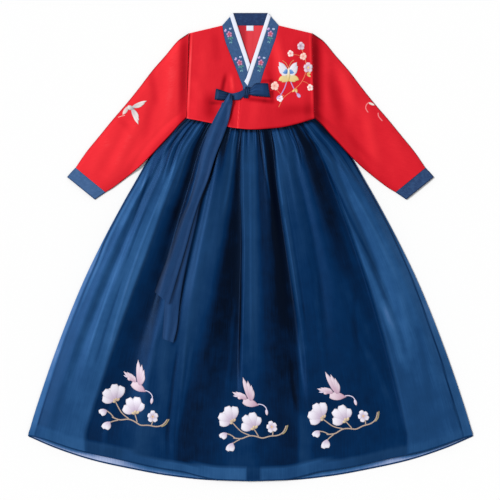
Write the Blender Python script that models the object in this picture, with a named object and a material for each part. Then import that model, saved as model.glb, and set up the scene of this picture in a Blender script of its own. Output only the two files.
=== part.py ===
"""A child's Korean hanbok laid on its back: a short jacket tied with a ribbon over a full gathered skirt.

Metres, +Z up.  The garment lies on the surface z = 0 with its neck towards +Y, and the origin is under
the middle of it.  The wearer faces up, so the wearer's right side is at -X.  Every piece of cloth is a
wall of its own, a seam's width from its neighbours.
"""

import math
from typing import Callable, NamedTuple, Sequence

import bmesh
import bpy
from mathutils import Vector

MM = 0.001

# Cloth
CLOTH = 1.2 * MM
COLLAR_CLOTH = 1.6 * MM
LABEL_CLOTH = 1.0 * MM
GAP = 0.3 * MM
LAYER = CLOTH + GAP
STEEPEST_WALL = 1.6

# Skirt
SEAM_Y = 345 * MM
HEM_CORNER = 556 * MM
LINING_ABOVE_HEM = 27 * MM
BAND_HEIGHT = 40 * MM
BAND_SWELL = 3.3 * MM
BAND_TOP_SWELL = 0.7 * MM
SIDE_FADE_WAIST = 0.78
SIDE_FADE_BELOW = 0.90
SKIRT_FALLS = (0, 0.022, 0.045, 0.075, 0.115, 0.17, 0.24, 0.33, 0.43, 0.54, 0.66, 0.78, 0.89, 0.96, 1)
PLAIN_FALLS = (0, 0.022, 0.045, 0.075, 0.24, 0.54, 0.78, 1)
PLAIN_COLUMNS = 16

# Jacket
NECK_HALF = 70.3 * MM
NECK_Y = 553.5 * MM
SHOULDER_X = 154.5 * MM
SHOULDER_Y = 533.5 * MM
UNDERARM_X = 160 * MM
UNDERARM_Y = 321.5 * MM
COLLAR_TOP_HALF = 43.3 * MM
COLLAR_TOP_Y = 585 * MM
CROSSING_RISE = COLLAR_CLOTH + GAP
COLLAR_LENGTHS = 12
COLLAR_ACROSS = 4
DONGJEONG_ACROSS = 2
LABEL_SIZE = (17.5 * MM, 13 * MM)
LABEL_X = -1.2 * MM

# Sleeves and cuffs
EDGE_SWELL = 0.7 * MM
MOST_SWELL = 3.6 * MM
CUFF_SWELL = 1.6 * MM
EDGE_ROUND = 1.2 * MM
OVER_SKIRT = 6.8 * MM


class Station(NamedTuple):
    """What is measured (value) at one place along an edge or a height, both in millimetres."""

    place: float
    value: float


class Gather(NamedTuple):
    """One gather along the waist seam: its width and height, and how far down it reaches, in mm."""

    width: float
    height: float
    reach: float


class Valley(NamedTuple):
    """One large fold's valley: its place at four heights and its widths, in shares of the half width."""

    seam: float
    upper: float
    middle: float
    lower: float
    left_top: float
    left_low: float
    right_top: float
    right_low: float
    depth: float
    ends: float


class Edges(NamedTuple):
    """One section across a strip, in mm: a point on each of its two edges."""

    first_x: float
    first_y: float
    second_x: float
    second_y: float


class Crease(NamedTuple):
    """One soft ridge in a sleeve: shares across and along it, half width share, and height in mm."""

    across_start: float
    across_end: float
    start: float
    end: float
    half_width: float
    height: float


SKIRT_HALF_WIDTH = (
    Station(-600, 556), Station(-472.5, 556), Station(-382.5, 529), Station(-282.5, 495),
    Station(-182.5, 457.5), Station(-82.5, 416), Station(17.5, 367.5), Station(117.5, 314),
    Station(170, 284), Station(220, 255.5), Station(250, 235.5), Station(275, 213), Station(300, 187),
    Station(310, 172.5), Station(320, 157), Station(330, 146.5), Station(345, 140),
)
BACK_HEM = (
    Station(0, -585), Station(100, -582), Station(200, -571.5), Station(305, -552.5), Station(394, -532.5),
    Station(486, -502.5), Station(556, -472.5),
)
HEM_LIFT = (
    Station(0, 1), Station(80, 1.5), Station(130, 8), Station(175, 14.5), Station(250, 15), Station(345, 17),
    Station(394, 15), Station(445, 11.5), Station(500, 10.5), Station(540, 5), Station(556, 0.5),
)
RIGHT_LINING_INSET = (Station(-450, 17), Station(-200, 14), Station(0, 12), Station(250, 9), Station(345, 7))
LEFT_LINING_INSET = (Station(-400, 27), Station(-200, 18), Station(0, 12), Station(250, 9), Station(345, 7))
RIDGE_HEIGHT = (
    Station(-585, 3), Station(-500, 5), Station(-420, 7.5), Station(-300, 10.5), Station(-100, 13.5),
    Station(80, 12.5), Station(180, 10), Station(250, 6.5), Station(300, 2.2), Station(320, 1.5),
    Station(345, 0.8),
)
FOLD_HEIGHTS = (300, 160, -20, -250)
VALLEYS = (
    Valley(-0.84, -0.86, -0.85, -0.87, 0.05, 0.04, 0.06, 0.05, 0.35, -420),
    Valley(-0.61, -0.55, -0.58, -0.64, 0.10, 0.07, 0.12, 0.22, 1.00, -500),
    Valley(-0.38, -0.36, -0.38, -0.42, 0.06, 0.05, 0.05, 0.06, 0.40, -250),
    Valley(-0.16, -0.12, -0.13, -0.21, 0.17, 0.12, 0.06, 0.09, 1.00, -430),
    Valley(0.10, 0.09, 0.08, 0.06, 0.05, 0.05, 0.05, 0.04, 0.40, -100),
    Valley(0.26, 0.21, 0.16, 0.15, 0.10, 0.11, 0.05, 0.07, 1.00, -430),
    Valley(0.46, 0.42, 0.42, 0.40, 0.06, 0.06, 0.06, 0.07, 0.30, -300),
    Valley(0.69, 0.60, 0.63, 0.66, 0.10, 0.25, 0.07, 0.05, 1.00, -520),
    Valley(0.85, 0.80, 0.79, 0.80, 0.05, 0.04, 0.05, 0.04, 0.40, -300),
)
GATHERS = (
    Gather(10, 2.4, 60), Gather(11, 2.6, 90), Gather(12, 2.0, 60), Gather(10, 2.6, 120), Gather(11, 2.2, 70),
    Gather(12, 2.6, 100), Gather(10, 1.8, 60), Gather(11, 2.6, 140), Gather(12, 2.2, 70), Gather(12, 2.6, 90),
    Gather(11, 2.0, 60), Gather(10, 2.6, 160), Gather(8, 2.2, 80), Gather(10, 2.6, 160), Gather(12, 2.2, 80),
    Gather(13, 2.6, 70), Gather(17, 2.6, 60), Gather(13, 2.2, 50), Gather(14, 2.4, 60), Gather(14, 2.6, 130),
    Gather(12, 2.2, 70), Gather(11, 2.6, 110), Gather(10, 2.0, 60), Gather(9, 2.4, 70),
)
COLUMNS_TO_A_GATHER = 4

JACKET_HEM = (
    Station(-160, 321), Station(-105, 310), Station(-31, 295.5), Station(4, 293), Station(68, 297),
    Station(115, 306.5), Station(160, 320.5),
)
BACK_JACKET_HEM = (Station(-160, 321), Station(0, 312), Station(160, 321))
UNDER_FRONT_ROWS = (372, 356, 340, 325, 313, 305)
OVER_FRONT_ROWS = (391.8, 390.8, 376, 358, 340, 325, 313, 305)
BACK_ROWS = (553.2, 530, 490, 450, 410, 370, 345, 325, 312)
FRONT_COLUMNS = 8
BACK_COLUMNS = 6
FRONT_HEIGHT_MIDDLE = (
    Station(285, 12.4), Station(325, 12.3), Station(345, 11.5), Station(365, 8.6), Station(385, 6.0),
    Station(420, 4.2), Station(460, 3.4), Station(500, 2.7), Station(545, 1.9), Station(590, 1.9),
)
FRONT_HEIGHT_SIDE = (
    Station(305, 8.3), Station(322, 8.1), Station(335, 4.9), Station(345, 4.5), Station(370, 4.0),
    Station(420, 3.2), Station(470, 2.6), Station(533, 1.9), Station(560, 1.9),
)
# The fronts' inner edges below the ends of their collars; above them they follow the collar's outer edge.
UNDER_FRONT_EDGE = (
    Station(280, 28), Station(320, 28), Station(350, 20), Station(370, 0), Station(386, -13.8),
)
OVER_FRONT_EDGE = (
    Station(280, -34), Station(297, -33), Station(362.5, -23), Station(390.8, -20.6), Station(391.8, 18),
)

# Each section's first point is on the collar's outer edge and its second on the edge at the neck.
UNDER_COLLAR = (
    Edges(-70.3, 553.8, -43.3, 584.5), Edges(-64, 518, -27.8, 537.5), Edges(-49.3, 478.3, -13.3, 493.6),
    Edges(-33.5, 438.3, -1, 456), Edges(-23.5, 411.8, 6, 432), Edges(-13, 386, 14, 405),
)
OVER_COLLAR = (
    Edges(70.3, 553.8, 43.3, 584.5), Edges(64.5, 526.3, 30.3, 545), Edges(53.8, 494.8, 18.1, 508),
    Edges(44.5, 468.3, 8.9, 480), Edges(33, 436.8, -1.6, 448.5), Edges(25.5, 411.8, -10.3, 422),
    Edges(17.3, 392.3, -20.3, 393.8),
)
UNDER_DONGJEONG = (
    Edges(-51.2, 575.4, -43.3, 584.5), Edges(-37.6, 532.2, -27.8, 537.5), Edges(-22.9, 489.5, -13.3, 493.6),
    Edges(-13.4, 461.5, -4.6, 467), Edges(-6.9, 437.4, -0.7, 454.5),
)
OVER_DONGJEONG = (
    Edges(50.8, 575.9, 43.3, 584.5), Edges(39.5, 540, 30.3, 545), Edges(27.7, 504.5, 18.1, 508),
    Edges(18.5, 476.8, 8.9, 480), Edges(7.9, 445.3, -1.6, 448.5), Edges(-0.6, 419.2, -10.3, 422),
    Edges(-7.1, 402.1, -15.3, 412.8),
)

# Each section's first point is on the sleeve's upper edge and its second on its underarm seam.
SLEEVE = (
    Edges(154.5, 533.5, 160, 321.5), Edges(179, 517.5, 180, 302.2), Edges(212.5, 478.5, 201.5, 278),
    Edges(246, 440, 225.5, 252.4), Edges(278, 398, 249.5, 226.4), Edges(311, 357, 275, 201.4),
    Edges(344.5, 318, 299.5, 181.3), Edges(378, 277, 324.5, 161.8), Edges(410.5, 237, 346, 146.2),
    Edges(437, 198.5, 362, 136.8),
)
CUFF = (Edges(437.3, 198.2, 362.3, 136.5), Edges(448, 187, 375.3, 127.8), Edges(458.5, 175, 389, 118.5))
SLEEVE_LENGTHS = 14
SLEEVE_ACROSS = 8
RIGHT_SLEEVE_CREASES = (
    Crease(0.30, 0.62, 0.06, 0.55, 0.16, 1.6),
    Crease(0.72, 0.50, 0.10, 0.70, 0.14, 1.4),
    Crease(0.45, 0.30, 0.45, 0.95, 0.18, 1.3),
)
LEFT_SLEEVE_CREASES = (
    Crease(0.25, 0.55, 0.05, 0.60, 0.16, 1.6),
    Crease(0.66, 0.58, 0.12, 0.80, 0.14, 1.4),
    Crease(0.50, 0.24, 0.40, 0.90, 0.18, 1.2),
)

# Ribbon tie: each section's first point is on the lower or left edge and its second on the other.
LOOP_LEFT = (Edges(47, 373.3, 41.3, 408), Edges(32, 374.5, 29, 408.3), Edges(17, 375.6, 15, 408),
             Edges(4, 377.5, 3.5, 398), Edges(-7, 380.5, -6, 391))
LOOP_RIGHT = (Edges(-88, 367.2, -84.5, 394.5), Edges(-78, 366, -75, 391.5), Edges(-66, 365.6, -64, 387.5),
              Edges(-53.6, 366.2, -53.6, 384.8))
TIE_BAND = (Edges(-53, 366, -53, 384.8), Edges(-45, 365.6, -45, 383.3), Edges(-29, 366.6, -29, 386.8),
            Edges(-16.5, 375.5, -16.5, 392.5), Edges(-10.5, 379.5, -10.5, 391.5))
KNOT = (Edges(-13, 400, -1, 399), Edges(-14, 393, -2.5, 392.5), Edges(-14.5, 386, -3.5, 385.5),
        Edges(-16, 378.5, -5, 378), Edges(-17, 371, -5.5, 370))
SHORT_TAIL = (
    Edges(-54, 382, -45.5, 380), Edges(-64, 365, -44.5, 362), Edges(-77, 344, -48.5, 340),
    Edges(-89, 322, -54.5, 314), Edges(-104, 290, -66, 279), Edges(-122, 236, -87, 225),
    Edges(-134, 180, -104, 171), Edges(-151, 120, -127.5, 111), Edges(-172.5, 70, -143.5, 60),
    Edges(-190, 20, -157.5, 8), Edges(-203.8, -20, -169.5, -33), Edges(-221, -65, -183.5, -80),
    Edges(-238.8, -112, -201.3, -141),
)
LONG_TAIL = (
    Edges(-71, 360, -50, 357), Edges(-84, 318, -60, 312), Edges(-100, 270, -74, 264),
    Edges(-116, 220, -92, 214), Edges(-130, 178, -104, 170), Edges(-150, 122, -124, 113),
    Edges(-168, 68, -136.5, 55), Edges(-184, 10, -150, -3), Edges(-198, -45, -162, -57), Edges(-208, -95, -170.5, -103),
    Edges(-213, -145, -177, -150), Edges(-216, -190, -182, -198), Edges(-218.8, -228, -191.3, -238),
)
LOOP_SWELL = 2.8 * MM
NECK_SWELL = 0.5 * MM
KNOT_ARCH = 4.2 * MM
TAIL_LENGTHS = 28
TAIL_ACROSS = 3
COVER_REACH = 9 * MM

Height = Callable[[float, float], float]


def smooth(start: float, end: float, value: float) -> float:
    """0 before start and 1 after end, with a soft slope between.  start may lie above end."""
    share = min(1.0, max(0.0, (value - start) / (end - start)))
    return share * share * (3 - 2 * share)


def mix(first: float, second: float, share: float) -> float:
    return first + (second - first) * share


def read(stations: Sequence[Station], place: float) -> float:
    """Metres at a place in metres, on a curve through the stations that never overshoots them."""
    place_mm = place / MM
    if place_mm <= stations[0].place:
        return stations[0].value * MM
    if place_mm >= stations[-1].place:
        return stations[-1].value * MM
    after = next(i for i, station in enumerate(stations) if station.place > place_mm)
    start, end = stations[after - 1], stations[after]
    width = end.place - start.place
    share = (place_mm - start.place) / width
    slopes = (slope_at(stations, after - 1) * width, slope_at(stations, after) * width)
    squared, cubed = share**2, share**3
    value = (2 * cubed - 3 * squared + 1) * start.value + (3 * squared - 2 * cubed) * end.value
    value += (cubed - 2 * squared + share) * slopes[0] + (cubed - squared) * slopes[1]
    return value * MM


def slope_at(stations: Sequence[Station], index: int) -> float:
    """Slope of the curve at one station: the harmonic mean of its neighbours' slopes, or flat at a turn."""
    if index == 0 or index == len(stations) - 1:
        near = stations[1 if index == 0 else -2]
        return (stations[index].value - near.value) / (stations[index].place - near.place)
    before, here, after = stations[index - 1 : index + 2]
    first = (here.value - before.value) / (here.place - before.place)
    second = (after.value - here.value) / (after.place - here.place)
    return 2 * first * second / (first + second) if first * second > 0 else 0.0


def straight(stations: Sequence[Station], place: float) -> float:
    """Metres at a place in metres, on straight runs between the stations."""
    place_mm = min(max(place / MM, stations[0].place), stations[-1].place)
    after = next(i for i, station in enumerate(stations) if station.place >= place_mm and i > 0)
    start, end = stations[after - 1], stations[after]
    return mix(start.value, end.value, (place_mm - start.place) / (end.place - start.place)) * MM


def front_edge(collar: Sequence[Edges], lower_rows: Sequence[float], lower: Sequence[Station],
               side: int) -> list[Vector]:
    """Points of a front's inner edge: a seam from its collar, and on its own line below the collar's end."""
    along_collar = [row[0] + Vector((side * GAP, 0)) for row in strip_places(collar, COLLAR_LENGTHS, 1)]
    along_collar[0].y = NECK_Y
    return along_collar + [Vector((straight(lower, row * MM), row * MM)) for row in lower_rows]


def section(strip: Sequence[Edges], share: float) -> tuple[Vector, Vector]:
    """The two edge points in metres at a share of the way along a strip, curving through its sections."""
    knots = range(len(strip))
    places = tuple(
        tuple(Station(knot, edges[axis]) for knot, edges in zip(knots, strip)) for axis in range(4)
    )
    values = [read(stations, share * (len(strip) - 1) * MM) for stations in places]
    return Vector(values[:2]), Vector(values[2:])


# --- heights of the layers, each a height in metres at a place in plan


def skirt_half(y: float) -> float:
    return read(SKIRT_HALF_WIDTH, y)


def back_hem(x: float) -> float:
    return read(BACK_HEM, abs(x))


def front_hem(x: float) -> float:
    return back_hem(x) + read(HEM_LIFT, abs(x))


def lining_inset(x: float, y: float) -> float:
    return read(LEFT_LINING_INSET if x > 0 else RIGHT_LINING_INSET, y)


def back_low(x: float, y: float) -> float:
    """Underside of the skirt's back: on the jacket's back near the waist, and flat on the surface below."""
    return LAYER * smooth(277 * MM, 304 * MM, y)


def lining_back_low(x: float, y: float) -> float:
    return back_low(x, y) + LAYER


def lining_front_low(x: float, y: float) -> float:
    return back_low(x, y) + 2 * LAYER


def gather_edges() -> list[float]:
    """Where each gather starts and ends, as shares of the half width from -1 to 1."""
    total = sum(gather.width for gather in GATHERS)
    edges = [-1.0]
    for gather in GATHERS:
        edges.append(edges[-1] + 2 * gather.width / total)
    edges[-1] = 1.0
    return edges


GATHER_EDGES = gather_edges()


def gathers(share: float, y: float) -> float:
    """Height that the gathers add to the front."""
    index = next((i for i, edge in enumerate(GATHER_EDGES[1:]) if share <= edge), len(GATHERS) - 1)
    gather = GATHERS[index]
    start, end = GATHER_EDGES[index], GATHER_EDGES[index + 1]
    across = math.sin(math.pi * (share - start) / (end - start)) ** 2
    return gather.height * MM * across * (1 - smooth(30 * MM, (30 + gather.reach) * MM, SEAM_Y - y))


def valley_depth(valley: Valley, share: float, y: float) -> float:
    """How far one valley takes the folds down at a place, from 0 to its depth."""
    places = [Station(height, place) for height, place in zip(FOLD_HEIGHTS, valley[:4])][::-1]
    low_share = smooth(150 * MM, -200 * MM, y)
    offset = share - read(places, y) / MM
    if offset < 0:
        width = mix(valley.left_top, valley.left_low, low_share)
    else:
        width = mix(valley.right_top, valley.right_low, low_share)
    if abs(offset) >= width:
        return 0.0
    fade = smooth(valley.ends * MM, (valley.ends + 200) * MM, y)
    return valley.depth * fade * (0.5 + 0.5 * math.cos(math.pi * offset / width))


def folds(x: float, y: float) -> float:
    """Height of the front's gathers and folds above the layers under it."""
    share = x / skirt_half(y)
    level = read(RIDGE_HEIGHT, y)
    for valley in VALLEYS:
        level *= 1 - valley_depth(valley, share, y)
    fade_from = mix(SIDE_FADE_BELOW, SIDE_FADE_WAIST, smooth(140 * MM, 230 * MM, y))
    return (level + gathers(share, y)) * smooth(1.0, fade_from, abs(share))


def front_low(x: float, y: float) -> float:
    """Underside of the skirt's front: over the lining, and down on the back at the sides and the hem."""
    inset = lining_inset(x, y) - 2 * MM
    over_lining = smooth(0, inset, skirt_half(y) - abs(x))
    over_lining *= smooth(0, LINING_ABOVE_HEM - 2 * MM, y - front_hem(x))
    return back_low(x, y) + LAYER + 2 * LAYER * over_lining + folds(x, y)


def wall_rise(low: Height, x: float, y: float, cloth: float) -> float:
    """Height of a wall of the cloth's thickness, which is more where the wall slopes."""
    step = 1.5 * MM
    slope_x = (low(x + step, y) - low(x - step, y)) / (2 * step)
    slope_y = (low(x, y + step) - low(x, y - step)) / (2 * step)
    return cloth * min(STEEPEST_WALL, math.sqrt(1 + slope_x**2 + slope_y**2))


def skirt_top(x: float, y: float) -> float:
    return front_low(x, y) + wall_rise(front_low, x, y, CLOTH)


def side_line(y: float) -> float:
    """Half width of the jacket at its armhole seams."""
    return mix(UNDERARM_X, SHOULDER_X, (y - UNDERARM_Y) / (SHOULDER_Y - UNDERARM_Y)) - GAP


def shoulder_line(x: float) -> float:
    share = (abs(x) - NECK_HALF) / (SHOULDER_X - NECK_HALF)
    return mix(NECK_Y, SHOULDER_Y, min(1.0, max(0.0, share)))


def jacket_low(x: float, y: float) -> float:
    """Underside of the jacket's fronts: over the gathers at the hem, and down on the back at the top."""
    return mix(read(FRONT_HEIGHT_MIDDLE, y), read(FRONT_HEIGHT_SIDE, y), smooth(130 * MM, 156 * MM, abs(x)))


def over_low(x: float, y: float) -> float:
    """Underside of the front and the collar that lie over the others where they cross."""
    return jacket_low(x, y) + CROSSING_RISE * smooth(58 * MM, 32 * MM, x) * smooth(490 * MM, 462 * MM, y)


def under_strip_low(x: float, y: float) -> float:
    return jacket_low(x, y) + COLLAR_CLOTH + GAP


def over_strip_low(x: float, y: float) -> float:
    return over_low(x, y) + COLLAR_CLOTH + GAP


def bow_bed(x: float, y: float) -> float:
    """Where the ribbon tie lies on the jacket."""
    over = over_low(x, y) + COLLAR_CLOTH + GAP
    under = jacket_low(x, y) + LAYER
    return mix(under, over, smooth(-44 * MM, -34 * MM, x))


def garment_top(x: float, y: float) -> float:
    """Top of the jacket where there is jacket, and of the skirt below it."""
    if y > read(JACKET_HEM, x) - 1 * MM:
        return bow_bed(x, y) - GAP
    return skirt_top(x, y)


def draped(x: float, y: float, reach: float) -> float:
    """Underside of a ribbon that bridges what lies within reach of it."""
    steps = (-1.0, -0.5, 0.0, 0.5, 1.0)
    around = [(x + across * reach, y + along * reach) for across in steps for along in steps]
    return GAP + max(garment_top(*place) for place in around)


def long_tail_low(x: float, y: float) -> float:
    return draped(x, y, COVER_REACH) + GAP


def short_tail_low(x: float, y: float) -> float:
    over_band = (CLOTH + GAP + NECK_SWELL) * smooth(352 * MM, 364 * MM, y)
    return draped(x, y, 1.7 * COVER_REACH) + 1.3 * CLOTH + 2 * GAP + over_band


def band_low(x: float, y: float) -> float:
    return bow_bed(x, y) + NECK_SWELL * smooth(365 * MM, 372 * MM, y) * smooth(395 * MM, 385 * MM, y)


def over_skirt_edge(x: float, y: float) -> float:
    """Underside of a sleeve's lower wall: on the surface, and over the skirt's edge at the underarm."""
    return OVER_SKIRT * smooth(-12 * MM, -1 * MM, skirt_half(y) - abs(x))


# --- making of cloth


def finish(name: str, colour: str, roughness: float) -> bpy.types.Material:
    """A plain cloth material from an sRGB hex colour."""
    parts = [int(colour[i : i + 2], 16) / 255 for i in (1, 3, 5)]
    linear = [part / 12.92 if part <= 0.04045 else ((part + 0.055) / 1.055) ** 2.4 for part in parts]
    material = bpy.data.materials.new(name)
    material.use_nodes = True
    shader = material.node_tree.nodes["Principled BSDF"]
    shader.inputs["Base Color"].default_value = (*linear, 1)
    shader.inputs["Roughness"].default_value = roughness
    shader.inputs["Metallic"].default_value = 0
    material.diffuse_color = (*linear, 1)
    return material


def cloth_wall(
    name: str,
    material: bpy.types.Material,
    rows: Sequence[Sequence[tuple[Vector, Vector]]],
    garment: bpy.types.Object,
    ring: bool = False,
) -> bpy.types.Object:
    """One closed wall of cloth.  Each point comes with the vector from the outer face through the cloth."""
    shape = bmesh.new()
    through = shape.verts.layers.float_vector.new("through")
    grid = []
    for row in rows:
        line = []
        for point, inward in row:
            corner = shape.verts.new(point)
            corner[through] = inward
            line.append(corner)
        grid.append(line)
    for line, following in zip(grid, grid[1:]):
        for i in range(len(line) if ring else len(line) - 1):
            j = (i + 1) % len(line)
            shape.faces.new((line[i], line[j], following[j], following[i]))
    extruded = bmesh.ops.extrude_face_region(shape, geom=shape.faces[:])
    for element in extruded["geom"]:
        if isinstance(element, bmesh.types.BMVert):
            element.co += element[through]
    bmesh.ops.recalc_face_normals(shape, faces=shape.faces[:])
    mesh = bpy.data.meshes.new(name)
    shape.to_mesh(mesh)
    shape.free()
    mesh.materials.append(material)
    mesh.shade_smooth()
    mesh.set_sharp_from_angle(angle=math.radians(50))
    piece = bpy.data.objects.new(name, mesh)
    piece.parent = garment
    bpy.context.collection.objects.link(piece)
    return piece


def laid(places: Sequence[Sequence[Vector]], low: Height, cloth: float) -> list[list[tuple[Vector, Vector]]]:
    """Rows of wall points for a panel that lies on what the height gives, from its points in plan."""
    return [
        [(Vector((p.x, p.y, low(p.x, p.y))), Vector((0, 0, wall_rise(low, p.x, p.y, cloth)))) for p in row]
        for row in places
    ]


def skirt_places(columns: Sequence[float], falls: Sequence[float], hem: Callable[[float], float],
                 inset: Height | None = None) -> list[list[Vector]]:
    """Points in plan of a skirt panel, by share across and share down."""
    rows = []
    for fall in falls:
        row = []
        for share in columns:
            y = mix(SEAM_Y, hem(share * HEM_CORNER), fall)
            half = skirt_half(y) - (inset(share, y) if inset else 0)
            row.append(Vector((share * half, y)))
        rows.append(row)
    return rows


def even_shares(count: int, start: float = -1.0, end: float = 1.0) -> list[float]:
    return [mix(start, end, i / count) for i in range(count + 1)]


def front_columns() -> list[float]:
    """Shares across the front: each gather's start, crest and flanks, and more on the wide ones."""
    columns = []
    for start, end, gather in zip(GATHER_EDGES, GATHER_EDGES[1:], GATHERS):
        count = COLUMNS_TO_A_GATHER + (2 if gather.width > 12 else 0)
        columns += [mix(start, end, i / count) for i in range(count)]
    return [*columns, 1.0]


def strip_places(strip: Sequence[Edges], lengths: int, across: int) -> list[list[Vector]]:
    """Points in plan of a strip, from its sections."""
    rows = []
    for step in range(lengths + 1):
        first, second = section(strip, step / lengths)
        rows.append([first.lerp(second, i / across) for i in range(across + 1)])
    return rows


def jacket_places(inner: Sequence[Vector], columns: int, hem: Sequence[Station],
                  side: int) -> list[list[Vector]]:
    """Points in plan of a jacket panel, from its inner edge to its armhole, shoulder line to hem."""
    top_y, hem_y = inner[0].y, inner[-1].y
    places = []
    for start in inner:
        row = []
        for i in range(columns + 1):
            x = mix(start.x, side * side_line(start.y), i / columns)
            y = start.y + (shoulder_line(x) - NECK_Y) * smooth(480 * MM, top_y, start.y)
            y += (read(hem, x) - hem_y) * smooth(365 * MM, hem_y, start.y)
            x = mix(start.x, side * side_line(y), i / columns)
            row.append(Vector((x, y)))
        places.append(row)
    return places


def tube_rows(
    strip: Sequence[Edges],
    lengths: int,
    across: int,
    side: int,
    floor: Height,
    swell: Callable[[float, float, Vector], float],
) -> list[list[tuple[Vector, Vector]]]:
    """Rings of wall points for cloth sewn into a flattened tube, from the lower wall to the upper one."""
    rings = []
    for step in range(lengths + 1):
        along = step / lengths
        first, second = (Vector((side * point.x, point.y)) for point in section(strip, along))
        outward = (second - first).normalized()
        inner_first, inner_second = first + outward * EDGE_ROUND, second - outward * EDGE_ROUND
        lower, upper = [], []
        for i in range(across + 1):
            share = i / across
            place = inner_first.lerp(inner_second, share)
            base = floor(place.x, place.y)
            top = base + 2 * CLOTH + swell(share, along, place)
            lower.append((Vector((*place, base)), Vector((0, 0, CLOTH))))
            upper.append((Vector((*place, top)), Vector((0, 0, -CLOTH))))
        edges = []
        for tip, inward, end in ((second, -outward, -1), (first, outward, 0)):
            height = (lower[end][0].z + upper[end][0].z) / 2
            edges.append((Vector((*tip, height)), Vector((*(inward * CLOTH), 0))))
        rings.append([*lower, edges[0], *reversed(upper), edges[1]])
    return rings


# --- the pieces


def make_skirt(garment: bpy.types.Object) -> None:
    organza = finish("navy_organza", "#1B3F6C", 0.5)
    lining = finish("navy_lining", "#0C2548", 0.6)
    columns = even_shares(PLAIN_COLUMNS)
    front = laid(skirt_places(front_columns(), SKIRT_FALLS, front_hem), front_low, CLOTH)
    cloth_wall("skirt_front", organza, front, garment)
    back = laid(skirt_places(columns, PLAIN_FALLS, back_hem), back_low, CLOTH)
    cloth_wall("skirt_back", organza, back, garment)

    def lining_hem(x: float) -> float:
        return front_hem(x) + LINING_ABOVE_HEM

    places = skirt_places(columns, PLAIN_FALLS, lining_hem, lining_inset)
    cloth_wall("skirt_lining_back", lining, laid(places, lining_back_low, CLOTH), garment)
    cloth_wall("skirt_lining_front", lining, laid(places, lining_front_low, CLOTH), garment)
    make_waistband(lining, garment)


def make_waistband(material: bpy.types.Material, garment: bpy.types.Object) -> None:
    """The plain band that the gathers are sewn to, a flattened ring inside the jacket."""
    half = skirt_half(SEAM_Y) / MM
    bottom, top = (SEAM_Y + GAP) / MM, (SEAM_Y + BAND_HEIGHT) / MM
    ends = (Edges(-half, bottom, half, bottom), Edges(-half, top, half, top))

    def swell(share: float, along: float, place: Vector) -> float:
        middle = smooth(0, 0.1, share) * smooth(1, 0.9, share)
        return mix(EDGE_SWELL, mix(BAND_SWELL, BAND_TOP_SWELL, along), middle)

    rings = tube_rows(ends, 3, 10, 1, lambda x, y: LAYER, swell)
    cloth_wall("skirt_waistband", material, rings, garment, ring=True)


def make_body(garment: bpy.types.Object) -> None:
    """The jacket's back and its two fronts, the wearer's left over the right."""
    red = finish("red_satin", "#D92634", 0.5)
    middle = [Vector((0, row * MM)) for row in BACK_ROWS]
    left = jacket_places(middle, BACK_COLUMNS, BACK_JACKET_HEM, 1)
    back = [[Vector((-p.x, p.y)) for p in reversed(row[1:])] + row for row in left]
    cloth_wall("jacket_back", red, laid(back, lambda x, y: 0.0, CLOTH), garment)
    edge = front_edge(UNDER_COLLAR, UNDER_FRONT_ROWS, UNDER_FRONT_EDGE, -1)
    under = jacket_places(edge, FRONT_COLUMNS, JACKET_HEM, -1)
    cloth_wall("jacket_front_right", red, laid(under, jacket_low, CLOTH), garment)
    edge = front_edge(OVER_COLLAR, OVER_FRONT_ROWS, OVER_FRONT_EDGE, 1)
    over = jacket_places(edge, FRONT_COLUMNS, JACKET_HEM, 1)
    cloth_wall("jacket_front_left", red, laid(over, over_low, CLOTH), garment)


def make_collar(garment: bpy.types.Object) -> None:
    """The collar band with its white strips, the stretch behind the neck, and the blank label under that."""
    navy = finish("denim_navy_cotton", "#47628F", 0.65)
    white = finish("white_cotton", "#E3E6F2", 0.6)
    strips = (
        ("collar_right", navy, UNDER_COLLAR, COLLAR_ACROSS, jacket_low, COLLAR_CLOTH),
        ("collar_left", navy, OVER_COLLAR, COLLAR_ACROSS, over_low, COLLAR_CLOTH),
        ("dongjeong_right", white, UNDER_DONGJEONG, DONGJEONG_ACROSS, under_strip_low, CLOTH),
        ("dongjeong_left", white, OVER_DONGJEONG, DONGJEONG_ACROSS, over_strip_low, CLOTH),
    )
    for name, material, strip, across, low, cloth in strips:
        cloth_wall(name, material, laid(strip_places(strip, COLLAR_LENGTHS, across), low, cloth), garment)
    neck = (
        Edges(-NECK_HALF / MM, NECK_Y / MM, -COLLAR_TOP_HALF / MM, COLLAR_TOP_Y / MM),
        Edges(NECK_HALF / MM, NECK_Y / MM, COLLAR_TOP_HALF / MM, COLLAR_TOP_Y / MM),
    )
    cloth_wall("collar_back", navy, laid(strip_places(neck, 8, 2), lambda x, y: 0.0, COLLAR_CLOTH), garment)
    width, height = LABEL_SIZE
    top = NECK_Y - GAP
    rows = (top, top - height / 2, top - height)
    label = [[Vector((LABEL_X + x * width / 2, y)) for x in (-1, 0, 1)] for y in rows]
    cloth_wall("neck_label", white, laid(label, lambda x, y: LAYER, LABEL_CLOTH), garment)


def sleeve_swell(creases: Sequence[Crease]) -> Callable[[float, float, Vector], float]:
    """Room inside a sleeve: the jacket's at the armhole, then a shallow hollow raised by its creases."""

    def swell(across: float, along: float, place: Vector) -> float:
        at_armhole = jacket_low(place.x, place.y) - over_skirt_edge(place.x, place.y) - CLOTH
        own = EDGE_SWELL + (CUFF_SWELL - EDGE_SWELL) * smooth(0, 0.2, across) * smooth(1, 0.8, across)
        for crease in creases:
            if not crease.start < along < crease.end:
                continue
            share = (along - crease.start) / (crease.end - crease.start)
            offset = (across - mix(crease.across_start, crease.across_end, share)) / crease.half_width
            if abs(offset) < 1:
                across_crease = math.cos(math.pi * offset / 2) ** 2
                own += crease.height * MM * across_crease * math.sin(math.pi * share) ** 2
        return max(EDGE_SWELL, min(MOST_SWELL, mix(at_armhole, own, smooth(0, 0.2, along))))

    return swell


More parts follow.
